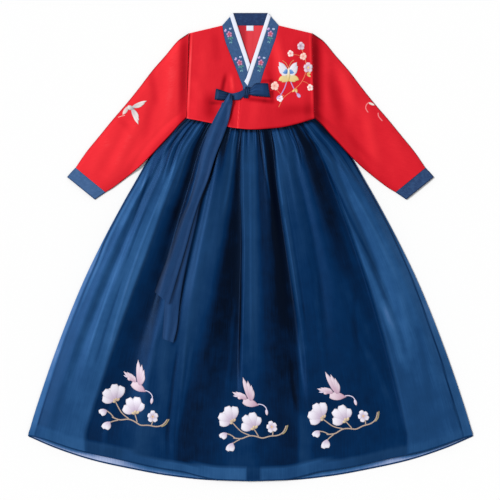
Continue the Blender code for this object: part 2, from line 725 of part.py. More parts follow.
def cuff_swell(across: float, along: float, place: Vector) -> float:
    return EDGE_SWELL + (CUFF_SWELL - EDGE_SWELL) * smooth(0, 0.2, across) * smooth(1, 0.8, across)


def make_sleeves(garment: bpy.types.Object) -> None:
    """Each sleeve and its cuff, sewn into flattened tubes that are open at both ends."""
    red = bpy.data.materials["red_satin"]
    navy = bpy.data.materials["denim_navy_cotton"]
    for name, side, creases in (("right", -1, RIGHT_SLEEVE_CREASES), ("left", 1, LEFT_SLEEVE_CREASES)):
        swell = sleeve_swell(creases)
        rings = tube_rows(SLEEVE, SLEEVE_LENGTHS, SLEEVE_ACROSS, side, over_skirt_edge, swell)
        cloth_wall(f"sleeve_{name}", red, rings, garment, ring=True)
        rings = tube_rows(CUFF, 3, SLEEVE_ACROSS, side, lambda x, y: 0.0, cuff_swell)
        cloth_wall(f"cuff_{name}", navy, rings, garment, ring=True)


def loop_rows(strip: Sequence[Edges]) -> list[list[tuple[Vector, Vector]]]:
    """Rows of a ribbon that runs out along the jacket, turns back at its end and returns over itself."""
    places = strip_places(strip, 5, 3)
    turn = (places[0][0] - places[1][0]).normalized()
    lower, upper = [], []
    for i, row in enumerate(places):
        share = i / (len(places) - 1)
        swell = mix(mix(LOOP_SWELL, NECK_SWELL, share), NECK_SWELL + 1 * MM, smooth(0.15, 0, share))
        bases = [bow_bed(p.x, p.y) for p in row]
        lower.append([(Vector((*p, base)), Vector((0, 0, CLOTH))) for p, base in zip(row, bases)])
        tops = [base + 2 * CLOTH + swell for base in bases]
        upper.append([(Vector((*p, top)), Vector((0, 0, -CLOTH))) for p, top in zip(row, tops)])
    end = []
    for (bottom, _), (top, _) in zip(lower[0], upper[0]):
        tip = (bottom + top) / 2 + Vector((*(turn * EDGE_ROUND), 0))
        end.append((tip, Vector((*(-turn * CLOTH), 0))))
    return [*reversed(lower), end, *upper]


def make_tie(garment: bpy.types.Object) -> None:
    """The ribbon tie: a loop on each side of the knot, the band between them and the two long tails."""
    ribbon = finish("navy_ribbon", "#24457A", 0.45)
    cloth_wall("goreum_loop_left", ribbon, loop_rows(LOOP_LEFT), garment)
    cloth_wall("goreum_loop_right", ribbon, loop_rows(LOOP_RIGHT), garment)
    cloth_wall("goreum_band", ribbon, laid(strip_places(TIE_BAND, 8, 4), band_low, CLOTH), garment)
    knot = strip_places(KNOT, 8, 3)
    rows = []
    for i, row in enumerate(knot):
        arch = KNOT_ARCH * smooth(0, 0.28, i / 8) * smooth(1, 0.72, i / 8)
        rows.append([(Vector((*p, bow_bed(p.x, p.y) + arch)), Vector((0, 0, 1.3 * CLOTH))) for p in row])
    cloth_wall("goreum_knot", ribbon, rows, garment)
    for name, strip, low in (("long", LONG_TAIL, long_tail_low), ("short", SHORT_TAIL, short_tail_low)):
        rows = laid(strip_places(strip, TAIL_LENGTHS, TAIL_ACROSS), low, CLOTH)
        cloth_wall(f"goreum_tail_{name}", ribbon, rows, garment)


def main() -> None:
    for leftover in list(bpy.data.objects):
        bpy.data.objects.remove(leftover, do_unlink=True)
    garment = bpy.data.objects.new("hanbok", None)
    bpy.context.collection.objects.link(garment)
    make_skirt(garment)
    make_body(garment)
    make_collar(garment)
    make_sleeves(garment)
    make_tie(garment)


main()
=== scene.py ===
"""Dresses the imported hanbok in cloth: folds, gathers, weave, seams, hems and embroidery over its solids.

Everything is in metres in the frame of the solids: the garment lies on its back on z = 0 with its neck
towards +Y, and the wearer's left is at +X.  Each sheet of cloth is a thin shell on its solid's form.
"""

import logging
import math
from dataclasses import dataclass, field, replace
from enum import Enum
from typing import Callable, Sequence

import bpy
import numpy as np
from bpy.types import Material, Node, NodeSocket, NodeTree, Object
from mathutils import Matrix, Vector
from mathutils.bvhtree import BVHTree

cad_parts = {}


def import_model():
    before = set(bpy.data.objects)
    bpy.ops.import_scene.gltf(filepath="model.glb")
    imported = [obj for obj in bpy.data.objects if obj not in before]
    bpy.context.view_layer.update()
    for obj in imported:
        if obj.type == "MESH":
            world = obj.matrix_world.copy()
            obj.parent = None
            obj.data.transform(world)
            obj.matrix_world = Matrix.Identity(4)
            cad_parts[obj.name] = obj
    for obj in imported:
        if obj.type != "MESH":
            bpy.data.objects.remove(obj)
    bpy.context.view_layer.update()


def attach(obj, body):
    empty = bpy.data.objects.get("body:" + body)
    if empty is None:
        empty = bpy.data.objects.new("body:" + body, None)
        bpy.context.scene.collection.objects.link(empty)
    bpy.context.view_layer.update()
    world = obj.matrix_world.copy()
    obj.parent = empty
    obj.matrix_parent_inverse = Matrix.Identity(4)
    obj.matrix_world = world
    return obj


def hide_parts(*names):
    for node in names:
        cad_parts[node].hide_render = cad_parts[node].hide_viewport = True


MM = 0.001
LOG = logging.getLogger("hanbok")

Array = np.ndarray
Pair = tuple[float, float]
Triple = tuple[float, float, float]
Grid = tuple[int, int]
# a value by x and y, and one by shares across a strip, shares along it and points in plan
Height = Callable[[Array, Array], Array]
Spread = Callable[[Array, Array, Array], Array]


# --- measures along and across the cloth


def smooth(start: float | Array, end: float | Array, value: Array) -> Array:
    """A soft step of a value, from 0 at start to 1 at end, which may be the lower of the two."""
    share = np.clip((value - start) / (end - start), 0.0, 1.0)
    return share * share * (3 - 2 * share)


def ramp(start: float | Array, end: float | Array, value: Array) -> Array:
    """A soft step of a value in metres, from a start to an end in millimetres."""
    return smooth(start * MM, end * MM, value)


def mix(first: float | Array, second: float | Array, share: float | Array) -> Array:
    """Goes from first to second as share goes from 0 to 1."""
    return first + (second - first) * share


def bump(offset: Array) -> Array:
    """A soft hump of height 1 between -1 and 1."""
    return np.where(np.abs(offset) < 1, 0.5 + 0.5 * np.cos(np.pi * np.clip(offset, -1, 1)), 0.0)


def by_row(count: int, start: float = 0) -> Array:
    """Even shares from start to 1, one for each row of a grid with count spaces."""
    return np.linspace(start, 1, count + 1)[:, None]


def by_column(count: int, start: float = 0) -> Array:
    """Even shares from start to 1, one for each column of a grid with count spaces."""
    return np.linspace(start, 1, count + 1)[None, :]


def lengths(points: Array, axis: int = 0) -> Array:
    """How far each point is from the first one, along an axis of a grid of points."""
    steps = np.linalg.norm(np.diff(points, axis=axis), axis=-1)
    return np.insert(np.cumsum(steps, axis=axis), 0, 0, axis=axis)


def by_side(pair: Pair, x: Array) -> Array:
    """Picks the first of a pair on the wearer's right, and the second on the left."""
    return np.where(x > 0, pair[1], pair[0])


@dataclass(frozen=True)
class Profile:
    """A curve through stations of (place, value), both in millimetres, that never overshoots them."""

    stations: tuple[Pair, ...]

    def at(self, place: float | Array) -> Array:
        """Reads the curve.

        Args:
            place: Places in metres.

        Returns:
            The values there, in metres.
        """
        places, values = np.array(self.stations, float).T
        slopes = np.diff(values) / np.diff(places)
        product, total = slopes[:-1] * slopes[1:], slopes[:-1] + slopes[1:]
        middle = np.where(product > 0, 2 * product / np.where(product > 0, total, 1), 0)
        tangents = np.concatenate([slopes[:1], middle, slopes[-1:]])
        asked = np.clip(np.asarray(place, float) / MM, places[0], places[-1])
        index = np.clip(np.searchsorted(places, asked, side="right") - 1, 0, len(places) - 2)
        width = places[index + 1] - places[index]
        share = (asked - places[index]) / width
        squared, cubed = share**2, share**3
        value = (2 * cubed - 3 * squared + 1) * values[index] + (3 * squared - 2 * cubed) * values[index + 1]
        value += (cubed - 2 * squared + share) * tangents[index] * width
        value += (cubed - squared) * tangents[index + 1] * width
        return value * MM


@dataclass(frozen=True)
class Strip:
    """A strip of cloth by sections across it: x and y of a point on each of its two edges, in millimetres."""

    sections: tuple[tuple[float, float, float, float], ...]
    side: int = 1

    def edges(self, shares: Array) -> tuple[Array, Array]:
        """Finds points in plan on both edges, on curves through the sections.

        Args:
            shares: Shares of the way along.

        Returns:
            The points on the first edge, and on the second.
        """
        knots = range(len(self.sections))
        asked = np.asarray(shares) * (len(self.sections) - 1) * MM
        first_x, first_y, second_x, second_y = (
            Profile(tuple(zip(knots, column))).at(asked) for column in zip(*self.sections)
        )
        return np.stack([self.side * first_x, first_y], -1), np.stack([self.side * second_x, second_y], -1)

    def between(self, along: Array, across: Array) -> Array:
        """Points in plan at shares of the way along and across."""
        first, second = self.edges(along)
        return mix(first[:, None, :], second[:, None, :], across[None, :, None])

    def grid(self, along: int, across: int) -> Array:
        """Points in plan, along + 1 rows of across + 1 points."""
        return self.between(np.linspace(0, 1, along + 1), np.linspace(0, 1, across + 1))


# --- sizes shared with the solids


CLOTH = 1.2 * MM
COLLAR_CLOTH = 1.6 * MM
GAP = 0.3 * MM
LAYER = CLOTH + GAP
SEAM_Y = 345 * MM
HEM_CORNER = 556 * MM
LINING_ABOVE_HEM = 27 * MM
NECK_HALF = 70.3 * MM
NECK_Y = 553.5 * MM
SHOULDER_X = 154.5 * MM
SHOULDER_Y = 533.5 * MM
UNDERARM_X = 160 * MM
UNDERARM_Y = 321.5 * MM
CROSSING_RISE = COLLAR_CLOTH + GAP
EDGE_ROUND = 1.2 * MM
EDGE_SWELL = 0.7 * MM
NECK_SWELL = 0.5 * MM
OVER_SKIRT = 6.8 * MM

# half width of the skirt by height, and its hems by x
SKIRT_HALF = Profile((
    (-600, 556), (-472.5, 556), (-450, 549.7), (-428, 543.4), (-382.5, 529), (-282.5, 495), (-182.5, 457.5),
    (-82.5, 416), (17.5, 367.5), (117.5, 314), (170, 284), (220, 255.5), (250, 235.5), (275, 213),
    (300, 190), (310, 178.5), (320, 167), (330, 152), (345, 142),
))
BACK_HEM = Profile((
    (0, -585), (100, -582), (200, -571.5), (305, -552.5), (394, -532.5), (486, -502.5), (556, -472.5),
))
HEM_LIFT = Profile((
    (-556, 0.5), (-540, 6), (-500, 12.5), (-445, 14), (-394, 16.5), (-345, 18), (-250, 15.5), (-175, 14.5),
    (-130, 8), (-80, 1.5), (0, 1), (80, 1.5), (130, 8), (175, 14.5), (250, 15), (345, 17), (394, 15),
    (445, 11.5), (500, 10.5), (540, 5), (556, 0.5),
))
# how far the lining's side edges are inside the organza's, and how far they look to be, by height
RIGHT_INSET = Profile(((-450, 17), (-200, 14), (0, 12), (250, 9), (345, 7)))
LEFT_INSET = Profile(((-400, 27), (-200, 18), (0, 12), (250, 9), (345, 7)))
RIGHT_SEEN = Profile(((-450, 17), (-257, 14), (-107, 12.5), (-45, 11.5), (17, 5), (80, 2.8), (345, 2)))
LEFT_SEEN = Profile((
    (-400, 26), (-257, 19), (-182, 16.5), (-107, 13), (-45, 10), (17, 7.5), (80, 5), (345, 3),
))
# how light the gleam inside the right edge is, in thousandths, and how high the folds stand, by height
RIGHT_GLEAM = Profile(((-300, 0), (-182, 50), (-107, 240), (-45, 330), (80, 340), (160, 240), (250, 0)))
RIDGE_HEIGHT = Profile((
    (-585, 3), (-500, 5), (-420, 7.5), (-300, 10.5), (-100, 13.5), (80, 12.5), (180, 10), (250, 6.5),
    (300, 2.2), (320, 1.5), (345, 0.8),
))
# the jacket's hems by x, and the height that its fronts lie on, at the middle and at the sides
JACKET_HEM = Profile((
    (-160, 321), (-105, 310), (-31, 295.5), (4, 293), (68, 297), (115, 306.5), (160, 320.5),
))
BACK_JACKET_HEM = Profile(((-160, 321), (0, 312), (160, 321)))
FRONT_MIDDLE = Profile((
    (285, 12.4), (325, 12.3), (345, 11.5), (365, 8.6), (385, 6), (420, 4.2), (460, 3.4), (500, 2.7),
    (545, 1.9), (590, 1.9),
))
FRONT_SIDE = Profile((
    (305, 8.3), (322, 8.1), (335, 4.9), (345, 4.5), (370, 4), (420, 3.2), (470, 2.6), (533, 1.9),
    (560, 1.9),
))
UNDER_COLLAR = Strip((
    (-70.3, 553.8, -43.3, 584.5), (-64, 518, -27.8, 537.5), (-49.3, 478.3, -13.3, 493.6),
    (-33.5, 438.3, -1, 456), (-23.5, 411.8, 6, 432), (-13, 386, 14, 405),
))
OVER_COLLAR = Strip((
    (70.3, 553.8, 43.3, 584.5), (64.5, 526.3, 30.3, 545), (53.8, 494.8, 18.1, 508), (44.5, 468.3, 8.9, 480),
    (33, 436.8, -1.6, 448.5), (25.5, 411.8, -10.3, 422), (17.3, 392.3, -20.3, 393.8),
))
UNDER_DONGJEONG = Strip((
    (-51.2, 575.4, -43.3, 584.5), (-37.6, 532.2, -27.8, 537.5), (-22.9, 489.5, -13.3, 493.6),
    (-13.4, 461.5, -4.6, 467), (-6.9, 437.4, -0.7, 454.5),
))
OVER_DONGJEONG = Strip((
    (50.8, 575.9, 43.3, 584.5), (39.5, 540, 30.3, 545), (27.7, 504.5, 18.1, 508), (18.5, 476.8, 8.9, 480),
    (7.9, 445.3, -1.6, 448.5), (-0.6, 419.2, -10.3, 422), (-7.1, 402.1, -15.3, 412.8),
))
NECK_BACK = Strip(((-70.3, 553.5, -43.3, 585), (70.3, 553.5, 43.3, 585)))
UNDER_FRONT_EDGE = ((280, 28), (320, 28), (350, 20), (370, 0), (386, -13.8))
OVER_FRONT_EDGE = ((280, -34), (297, -33), (362.5, -23), (390.8, -20.6), (391.8, 18))
SLEEVE = (
    (154.5, 533.5, 160, 321.5), (179, 517.5, 180, 302.2), (212.5, 478.5, 201.5, 278),
    (246, 440, 225.5, 252.4), (278, 398, 249.5, 226.4), (311, 357, 275, 201.4), (344.5, 318, 299.5, 181.3),
    (378, 277, 324.5, 161.8), (410.5, 237, 346, 146.2), (437, 198.5, 362, 136.8),
)
CUFF = ((437.3, 198.2, 362.3, 136.5), (448, 187, 375.3, 127.8), (458.5, 175, 389, 118.5))
LOOP_LEFT = Strip((
    (47, 373.3, 41.3, 408), (32, 374.5, 29, 408.3), (17, 375.6, 15, 408), (4, 377.5, 3.5, 398),
    (-7, 380.5, -6, 391),
))
LOOP_RIGHT = Strip((
    (-88, 367.2, -84.5, 394.5), (-78, 366, -75, 391.5), (-66, 365.6, -64, 387.5),
    (-53.6, 366.2, -53.6, 384.8),
))
TIE_BAND = Strip((
    (-53, 366, -53, 384.8), (-45, 365.6, -45, 383.3), (-29, 366.6, -29, 386.8),
    (-16.5, 375.5, -16.5, 392.5), (-10.5, 379.5, -10.5, 391.5),
))
KNOT = Strip((
    (-13, 400, -1, 399), (-14, 393, -2.5, 392.5), (-14.5, 386, -3.5, 385.5), (-16, 378.5, -5, 378),
    (-17, 371, -5.5, 370),
))
SHORT_TAIL = Strip((
    (-54, 382, -45.5, 380), (-64, 365, -44.5, 362), (-77, 344, -48.5, 340), (-89, 322, -54.5, 314),
    (-104, 290, -66, 279), (-122, 236, -87, 225), (-134, 180, -104, 171), (-151, 120, -127.5, 111),
    (-172.5, 70, -143.5, 60), (-190, 20, -157.5, 8), (-203.8, -20, -169.5, -33), (-221, -65, -183.5, -80),
    (-238.8, -112, -201.3, -141),
))
LONG_TAIL = Strip((
    (-71, 360, -50, 357), (-84, 318, -60, 312), (-100, 270, -74, 264), (-116, 220, -92, 214),
    (-130, 178, -104, 170), (-150, 122, -124, 113), (-168, 68, -136.5, 55), (-184, 10, -150, -3),
    (-198, -45, -162, -57), (-208, -95, -170.5, -103), (-213, -145, -177, -150), (-216, -190, -182, -198),
    (-218.8, -228, -191.3, -238),
))


# --- relief of the skirt


@dataclass(frozen=True)
class Valley:
    """A valley that takes the front's folds down.

    shares holds where it runs at the heights of HEIGHTS, and left and right how wide it is on each side,
    high up and low down, all as shares of the half width.  It fades out down to its end, in millimetres.
    """

    shares: tuple[float, float, float, float]
    left: Pair
    right: Pair
    depth: float
    end: float

    HEIGHTS = (-250, -20, 160, 300)
    WIDENING = (150, -200)
    FADE = 200

    def at(self, share: Array, y: Array) -> Array:
        """Reads the valley.

        Args:
            share, y: Shares of the half width, and heights in plan.

        Returns:
            How far it takes the folds down, from 0 to its depth.
        """
        low = ramp(*self.WIDENING, y)
        offset = share - Profile(tuple(zip(self.HEIGHTS, self.shares))).at(y) / MM
        width = np.where(offset < 0, mix(*self.left, low), mix(*self.right, low))
        return self.depth * ramp(self.end, self.end + self.FADE, y) * bump(offset / width)


@dataclass(frozen=True)
class Gather:
    """A gather at the waist: where and how wide it is, as shares, and its reach and height in mm."""

    share: float
    half_width: float
    reach: float
    height: float
    # tone paints light on a ridge and shade in a trough
    tone: float

    START = 30
    STRETCH = 1.25

    def at(self, share: Array, down: Array) -> Array:
        """How strong the gather is at a share and a distance down from the seam, from 0 to 1."""
        fade = ramp(self.START, self.START + self.STRETCH * self.reach, down)
        return bump((share - self.share) / self.half_width) * (1 - fade)


@dataclass(frozen=True)
class FoldLine:
    """A line down the skirt's front, with the cloth's height and tone on its two sides.

    shares holds where it runs, as shares of the half width, at the five heights of HEIGHTS from the highest
    down, and the tones hold how light the cloth is at the three of TONE_HEIGHTS.  Between two lines, height
    and tone go evenly from one to the other.  Where the two sides of a line differ, the cloth is folded
    over there.  Heights are in millimetres.
    """

    shares: tuple[float, float, float, float, float]
    # both sides' tones are painted light and shade of the folds
    left_tones: Triple
    right_tones: Triple
    left_height: float = 0
    right_height: float = 0
    width: float = 0.012
    top: float = 400
    bottom: float = -700

    HEIGHTS = (-450, -200, 0, 150, 300)
    TONE_HEIGHTS = (-400, -50, 250)
    FADE = 60

    def place(self, y: Array) -> Array:
        """Share of the half width that the line has at a height y in metres."""
        return Profile(tuple(zip(self.HEIGHTS, self.shares[::-1]))).at(y) / MM

    def tone(self, tones: Triple, y: Array) -> Array:
        """How light one side is at a height y in metres."""
        return Profile(tuple(zip(self.TONE_HEIGHTS, tones[::-1]))).at(y) / MM

    def strength(self, y: Array) -> Array:
        """How high the fold stands at a height y in metres, from 0 to 1."""
        low = ramp(self.bottom - self.FADE, self.bottom + self.FADE, y)
        return ramp(self.top + self.FADE, self.top - self.FADE, y) * low


@dataclass(frozen=True)
class Ripple:
    """A narrow ridge or trough down the skirt: shares at its top, middle and end, and its y range in mm."""

    shares: Triple
    top: float
    bottom: float
    width: float
    height: float
    # tone paints light on a ridge and shade in a trough; with no height it only makes the cloth lighter or
    # darker
    tone: float

    def at(self, share: Array, y: Array) -> Array:
        """Reads the ripple.

        Args:
            share, y: Shares of the half width, and heights in plan.

        Returns:
            How strong it is there, from 0 to 1.
        """
        stations = zip((self.bottom, (self.top + self.bottom) / 2, self.top), self.shares[::-1])
        offset = (share - Profile(tuple(stations)).at(y) / MM) / self.width
        along = (self.top * MM - y) / ((self.top - self.bottom) * MM)
        return bump(offset) * smooth(0, 0.2, along) * smooth(1, 0.7, along)


VALLEYS = tuple(Valley(*row) for row in (
    ((-0.87, -0.85, -0.86, -0.84), (0.05, 0.04), (0.06, 0.05), 0.35, -420),
    ((-0.585, -0.54, -0.53, -0.54), (0.13, 0.15), (0.05, 0.1), 1, -500),
    ((-0.42, -0.38, -0.36, -0.38), (0.06, 0.05), (0.05, 0.06), 0.4, -250),
    ((-0.068, -0.065, -0.09, -0.11), (0.17, 0.17), (0.028, 0.03), 1, -430),
    ((0.25, 0.234, 0.224, 0.245), (0.1, 0.14), (0.026, 0.028), 1, -430),
    ((0.4, 0.42, 0.42, 0.46), (0.06, 0.06), (0.06, 0.07), 0.3, -300),
    ((0.687, 0.682, 0.687, 0.697), (0.14, 0.22), (0.03, 0.03), 1, -520),
    ((0.8, 0.79, 0.8, 0.85), (0.05, 0.04), (0.05, 0.04), 0.4, -300),
))
GATHERS = tuple(Gather(*row) for row in (
    (-0.95, 0.03, 60, 1.8, 0.1), (-0.88, 0.028, 70, 1.8, 0.18), (-0.81, 0.03, 80, 2.2, 0.32),
    (-0.775, 0.016, 70, -1, -0.3), (-0.735, 0.022, 60, 1.6, 0.1), (-0.675, 0.035, 90, 2.4, 0.32),
    (-0.585, 0.05, 90, -1.2, -0.25), (-0.48, 0.05, 90, 1.8, 0), (-0.36, 0.035, 70, 2, 0.05),
    (-0.272, 0.045, 150, -1, -0.46), (-0.184, 0.016, 100, 2.4, 0.16), (-0.14, 0.022, 130, -1.6, -0.4),
    (-0.075, 0.016, 120, 2.2, 0.22), (-0.04, 0.026, 100, -1, -0.38), (-0.008, 0.016, 60, 1.8, 0.04),
    (0.024, 0.01, 70, -0.8, -0.25), (0.064, 0.018, 80, 1.8, 0.18), (0.11, 0.014, 100, -1.4, -0.36),
    (0.136, 0.009, 120, 2.2, 0.5), (0.21, 0.055, 90, -1.2, -0.28), (0.335, 0.03, 120, 2.4, 0.26),
    (0.36, 0.02, 70, -0.5, -0.06), (0.42, 0.05, 120, 2.2, 0.1), (0.485, 0.014, 110, -1.4, -0.4),
    (0.552, 0.022, 80, 2, 0.26), (0.615, 0.025, 60, -1, -0.2), (0.657, 0.02, 70, 2.2, 0.3),
    (0.7, 0.016, 70, -1, -0.3), (0.753, 0.028, 90, 2, 0.25), (0.8, 0.016, 60, -0.8, -0.15),
    (0.85, 0.028, 70, 1.8, 0.18), (0.93, 0.028, 60, 1.6, 0.08),
))
FOLD_LINES = tuple(FoldLine(*row) for row in (
    ((-1, -1, -1, -1, -1), (0.45, 0.6, 0.5), (0.45, 0.6, 0.5)),
    ((-0.93, -0.92, -0.91, -0.91, -0.91), (0.5, 0.74, 0.67), (0.5, 0.76, 0.72)),
    ((-0.66, -0.666, -0.669, -0.698, -0.738), (0.66, 0.9, 0.78), (0.6, 0.42, 0.26), 1.8, -1.2, 0.013, 210),
    ((-0.525, -0.5, -0.507, -0.532, -0.585), (0.04, 0.1, 0.28), (0.45, 0.45, 0.38),
     -1, 1.4, 0.026, 330, -150),
    ((-0.33, -0.34, -0.345, -0.345, -0.35), (0.32, 0.5, 0.38), (0.24, 0.66, 0.34),
     0, 0.8, 0.014, 400, -520),
    ((-0.155, -0.18, -0.205, -0.245, -0.33), (0.62, 0.42, 0.22), (0.62, 0.36, 0.2)),
    ((-0.12, -0.135, -0.16, -0.21, -0.29), (0.24, 0.16, 0.17), (0.1, 0.12, 0.17)),
    ((-0.105, -0.085, -0.056, -0.052, -0.074), (0.08, 0.08, 0.33), (0.6, 0.5, 0.29),
     -0.6, 1.1, 0.006, 400, -230),
    ((0.045, 0.04, 0.03, 0.03, 0.02), (0.6, 0.58, 0.33), (0.56, 0.54, 0.33), 0.8, 0.6),
    ((0.085, 0.08, 0.08, 0.08, 0.08), (0.18, 0.2, 0.22), (0.18, 0.2, 0.22)),
    ((0.155, 0.155, 0.15, 0.14, 0.14), (0.25, 0.14, 0.17), (0.12, 0.12, 0.17)),
    ((0.27, 0.231, 0.238, 0.255, 0.22), (0.08, 0.1, 0.22), (0.72, 0.58, 0.3), -0.6, 0.7, 0.009, 400, -200),
    ((0.35, 0.31, 0.3, 0.3, 0.3), (0.56, 0.365, 0.28), (0.56, 0.365, 0.28)),
    ((0.5, 0.5, 0.5, 0.55, 0.6), (0.42, 0.365, 0.31), (0.34, 0.345, 0.31), 0.8, 0),
    ((0.565, 0.545, 0.565, 0.6, 0.66), (0.1, 0.24, 0.35), (0.08, 0.24, 0.35)),
    ((0.698, 0.692, 0.697, 0.7, 0.705), (0.16, 0.28, 0.3), (0.42, 0.6, 0.67), -0.5, 0.8, 0.009, 60),
    ((0.74, 0.77, 0.8, 0.8, 0.8), (0.66, 0.7, 0.66), (0.7, 0.78, 0.66)),
    ((0.9, 0.9, 0.9, 0.9, 0.9), (0.64, 0.8, 0.72), (0.64, 0.8, 0.72)),
    ((1, 1, 1, 1, 1), (0.52, 0.82, 0.74), (0.52, 0.82, 0.74)),
))
RIPPLES = tuple(Ripple(*row) for row in (
    ((-0.81, -0.825, -0.86), 190, -90, 0.05, 0, -0.1), ((-0.05, -0.05, -0.05), -400, -580, 0.11, 0, 0.13),
    ((0.26, 0.25, 0.25), -400, -580, 0.045, 0, 0.16), ((-0.96, -0.88, -0.8), 320, 170, 0.022, 1.1, 0.36),
    ((-0.92, -0.84, -0.765), 320, 180, 0.018, -1, -0.38), ((-0.87, -0.8, -0.745), 320, 150, 0.016, 1, 0.3),
    ((-0.82, -0.765, -0.725), 320, 170, 0.013, -0.9, -0.34),
    ((-0.76, -0.72, -0.69), 320, 140, 0.016, 0.8, 0.2), ((-0.985, -0.94, -0.88), 275, 110, 0.02, 0.8, 0.3),
    ((-0.92, -0.87, -0.83), 220, 20, 0.022, -0.7, -0.26),
    ((-0.84, -0.825, -0.825), 130, -340, 0.014, 0.9, 0.16),
    ((-0.79, -0.785, -0.78), 110, -60, 0.012, -0.6, -0.14),
    ((-0.72, -0.725, -0.73), 170, -330, 0.012, 0.7, 0.12),
    ((-0.765, -0.77, -0.775), -60, -320, 0.014, -0.6, -0.12),
    ((-0.64, -0.63, -0.62), 300, 120, 0.016, 0.7, 0.1), ((-0.5, -0.5, -0.5), -170, -540, 0.024, 0.7, 0.1),
    ((-0.375, -0.375, -0.37), -220, -560, 0.014, -0.9, -0.2),
    ((-0.335, -0.33, -0.33), -200, -560, 0.012, 0.6, 0.1),
    ((-0.17, -0.18, -0.21), 270, 60, 0.022, 0.9, 0.16),
    ((-0.05, -0.055, -0.06), -60, -380, 0.014, -0.4, -0.12),
    ((-0.09, -0.1, -0.12), -120, -400, 0.018, 0.7, 0.08), ((0, 0.005, 0.005), 250, -350, 0.012, 0.8, 0.08),
    ((0.13, 0.142, 0.16), 330, 100, 0.008, 1.2, 0.48), ((0.095, 0.115, 0.13), 330, 150, 0.012, -0.8, -0.14),
    ((0.235, 0.255, 0.27), 210, -200, 0.009, 0.8, 0.1), ((0.285, 0.29, 0.3), 190, -240, 0.01, -0.5, -0.1),
    ((0.26, 0.25, 0.25), -200, -340, 0.022, 0.5, 0.12),
    ((0.2, 0.205, 0.22), -270, -420, 0.014, -0.9, -0.12), ((0.36, 0.35, 0.35), 240, 20, 0.02, 0.5, 0.06),
    ((0.44, 0.42, 0.4), 200, -260, 0.03, -0.6, -0.05), ((0.5, 0.475, 0.455), 310, 180, 0.012, 1.1, 0.2),
    ((0.53, 0.51, 0.485), 310, 200, 0.01, -1, -0.2), ((0.69, 0.74, 0.785), 250, -170, 0.028, -1, -0.24),
    ((0.71, 0.76, 0.8), 70, -170, 0.01, 0.8, 0.12), ((0.87, 0.83, 0.77), -100, -330, 0.035, 0.6, 0.1),
    ((0.9, 0.87, 0.83), -170, -420, 0.03, -0.5, -0.08), ((0.84, 0.87, 0.88), 160, -120, 0.022, 0.7, 0.1),
    ((0.66, 0.72, 0.8), 320, 190, 0.014, 0.9, 0.2), ((0.74, 0.8, 0.86), 320, 180, 0.014, -0.9, -0.26),
    ((0.8, 0.86, 0.9), 325, 160, 0.014, 0.9, 0.26), ((0.87, 0.91, 0.94), 325, 140, 0.012, -0.8, -0.24),
    ((0.93, 0.95, 0.955), 325, 120, 0.012, 0.6, 0.1), ((-0.45, -0.43, -0.4), -210, -420, 0.04, 0.7, 0.12),
    ((-0.3, -0.31, -0.33), -230, -480, 0.016, 0.6, 0.1),
    ((-0.64, -0.65, -0.66), -330, -560, 0.02, 0.6, 0.08),
    ((0.23, 0.225, 0.22), -400, -560, 0.022, 0.6, 0.12), ((0.57, 0.63, 0.68), -210, -440, 0.03, 0.4, 0.07),
    ((-0.575, -0.56, -0.57), 340, 0, 0.045, 0, -0.14), ((0.595, 0.595, 0.62), 340, -100, 0.06, 0, -0.04),
    ((0.185, 0.18, 0.185), 300, -260, 0.045, 0, -0.1),
    ((-0.52, -0.52, -0.53), -90, -330, 0.04, -0.4, -0.16), ((-0.94, -0.93, -0.93), 190, 20, 0.05, 0, 0.26),
    ((-0.72, -0.71, -0.7), 230, 60, 0.03, 0, 0.18), ((0.7, 0.73, 0.77), 60, -260, 0.04, 0, 0.18),
    ((-0.46, -0.48, -0.5), -380, -560, 0.08, 0.4, 0.12), ((0.1, 0.1, 0.11), -440, -560, 0.08, 0.4, 0.06),
    ((0.4, 0.37, 0.36), -40, -330, 0.02, 0.5, 0.07), ((0.62, 0.56, 0.54), -90, -300, 0.026, -0.5, -0.07),
    ((-0.9, -0.89, -0.88), -320, -540, 0.03, -0.6, -0.06), ((0.78, 0.785, 0.79), -30, -270, 0.045, 0, 0.1),
    ((0.75, 0.755, 0.77), -120, -330, 0.04, 0, 0.18), ((0.55, 0.6, 0.64), -60, -280, 0.06, 0, 0.1),
    ((-0.31, -0.31, -0.31), 350, 210, 0.05, 0, -0.12), ((0, 0, 0), 345, 270, 0.035, 0, -0.12),
    ((0.65, 0.65, 0.65), 70, -70, 0.03, 0, 0.08),
))
# the back is seen from below, where a lifted ripple is a hollow, so each tone here is painted shade
BACK_RIPPLES = tuple(Ripple(*row) for row in (
    ((-0.82, -0.8, -0.78), 260, -480, 0.05, 1.1, -0.3), ((-0.55, -0.6, -0.57), 280, -380, 0.06, 1.3, -0.22),
    ((-0.28, -0.33, -0.36), 290, -500, 0.05, 1, -0.34),
    ((-0.08, -0.05, -0.09), 300, -300, 0.06, 1.2, -0.24), ((0.15, 0.17, 0.21), 290, -450, 0.05, 1.3, -0.32),
    ((0.37, 0.42, 0.45), 270, -350, 0.05, 1, -0.22), ((0.62, 0.6, 0.64), 280, -500, 0.06, 1.2, -0.34),
    ((0.84, 0.86, 0.85), 240, -420, 0.04, 1.1, -0.26),
))


def rise(marks: Sequence, *place: Array) -> Array:
    """How far gathers, ripples or creases lift the cloth at a place, all together."""
    return sum(mark.height * MM * mark.at(*place) for mark in marks)


def shade(marks: Sequence, *place: Array) -> Array:
    """How much gathers, ripples or creases lighten the cloth at a place, all together."""
    return sum(mark.tone * mark.at(*place) for mark in marks)


def back_hem(x: Array) -> Array:
    """Height in plan of the back's hem."""
    return BACK_HEM.at(np.abs(x))


def front_hem(x: Array) -> Array:
    """Height in plan of the front's hem, which lies a little above the back's."""
    return back_hem(x) + HEM_LIFT.at(x)


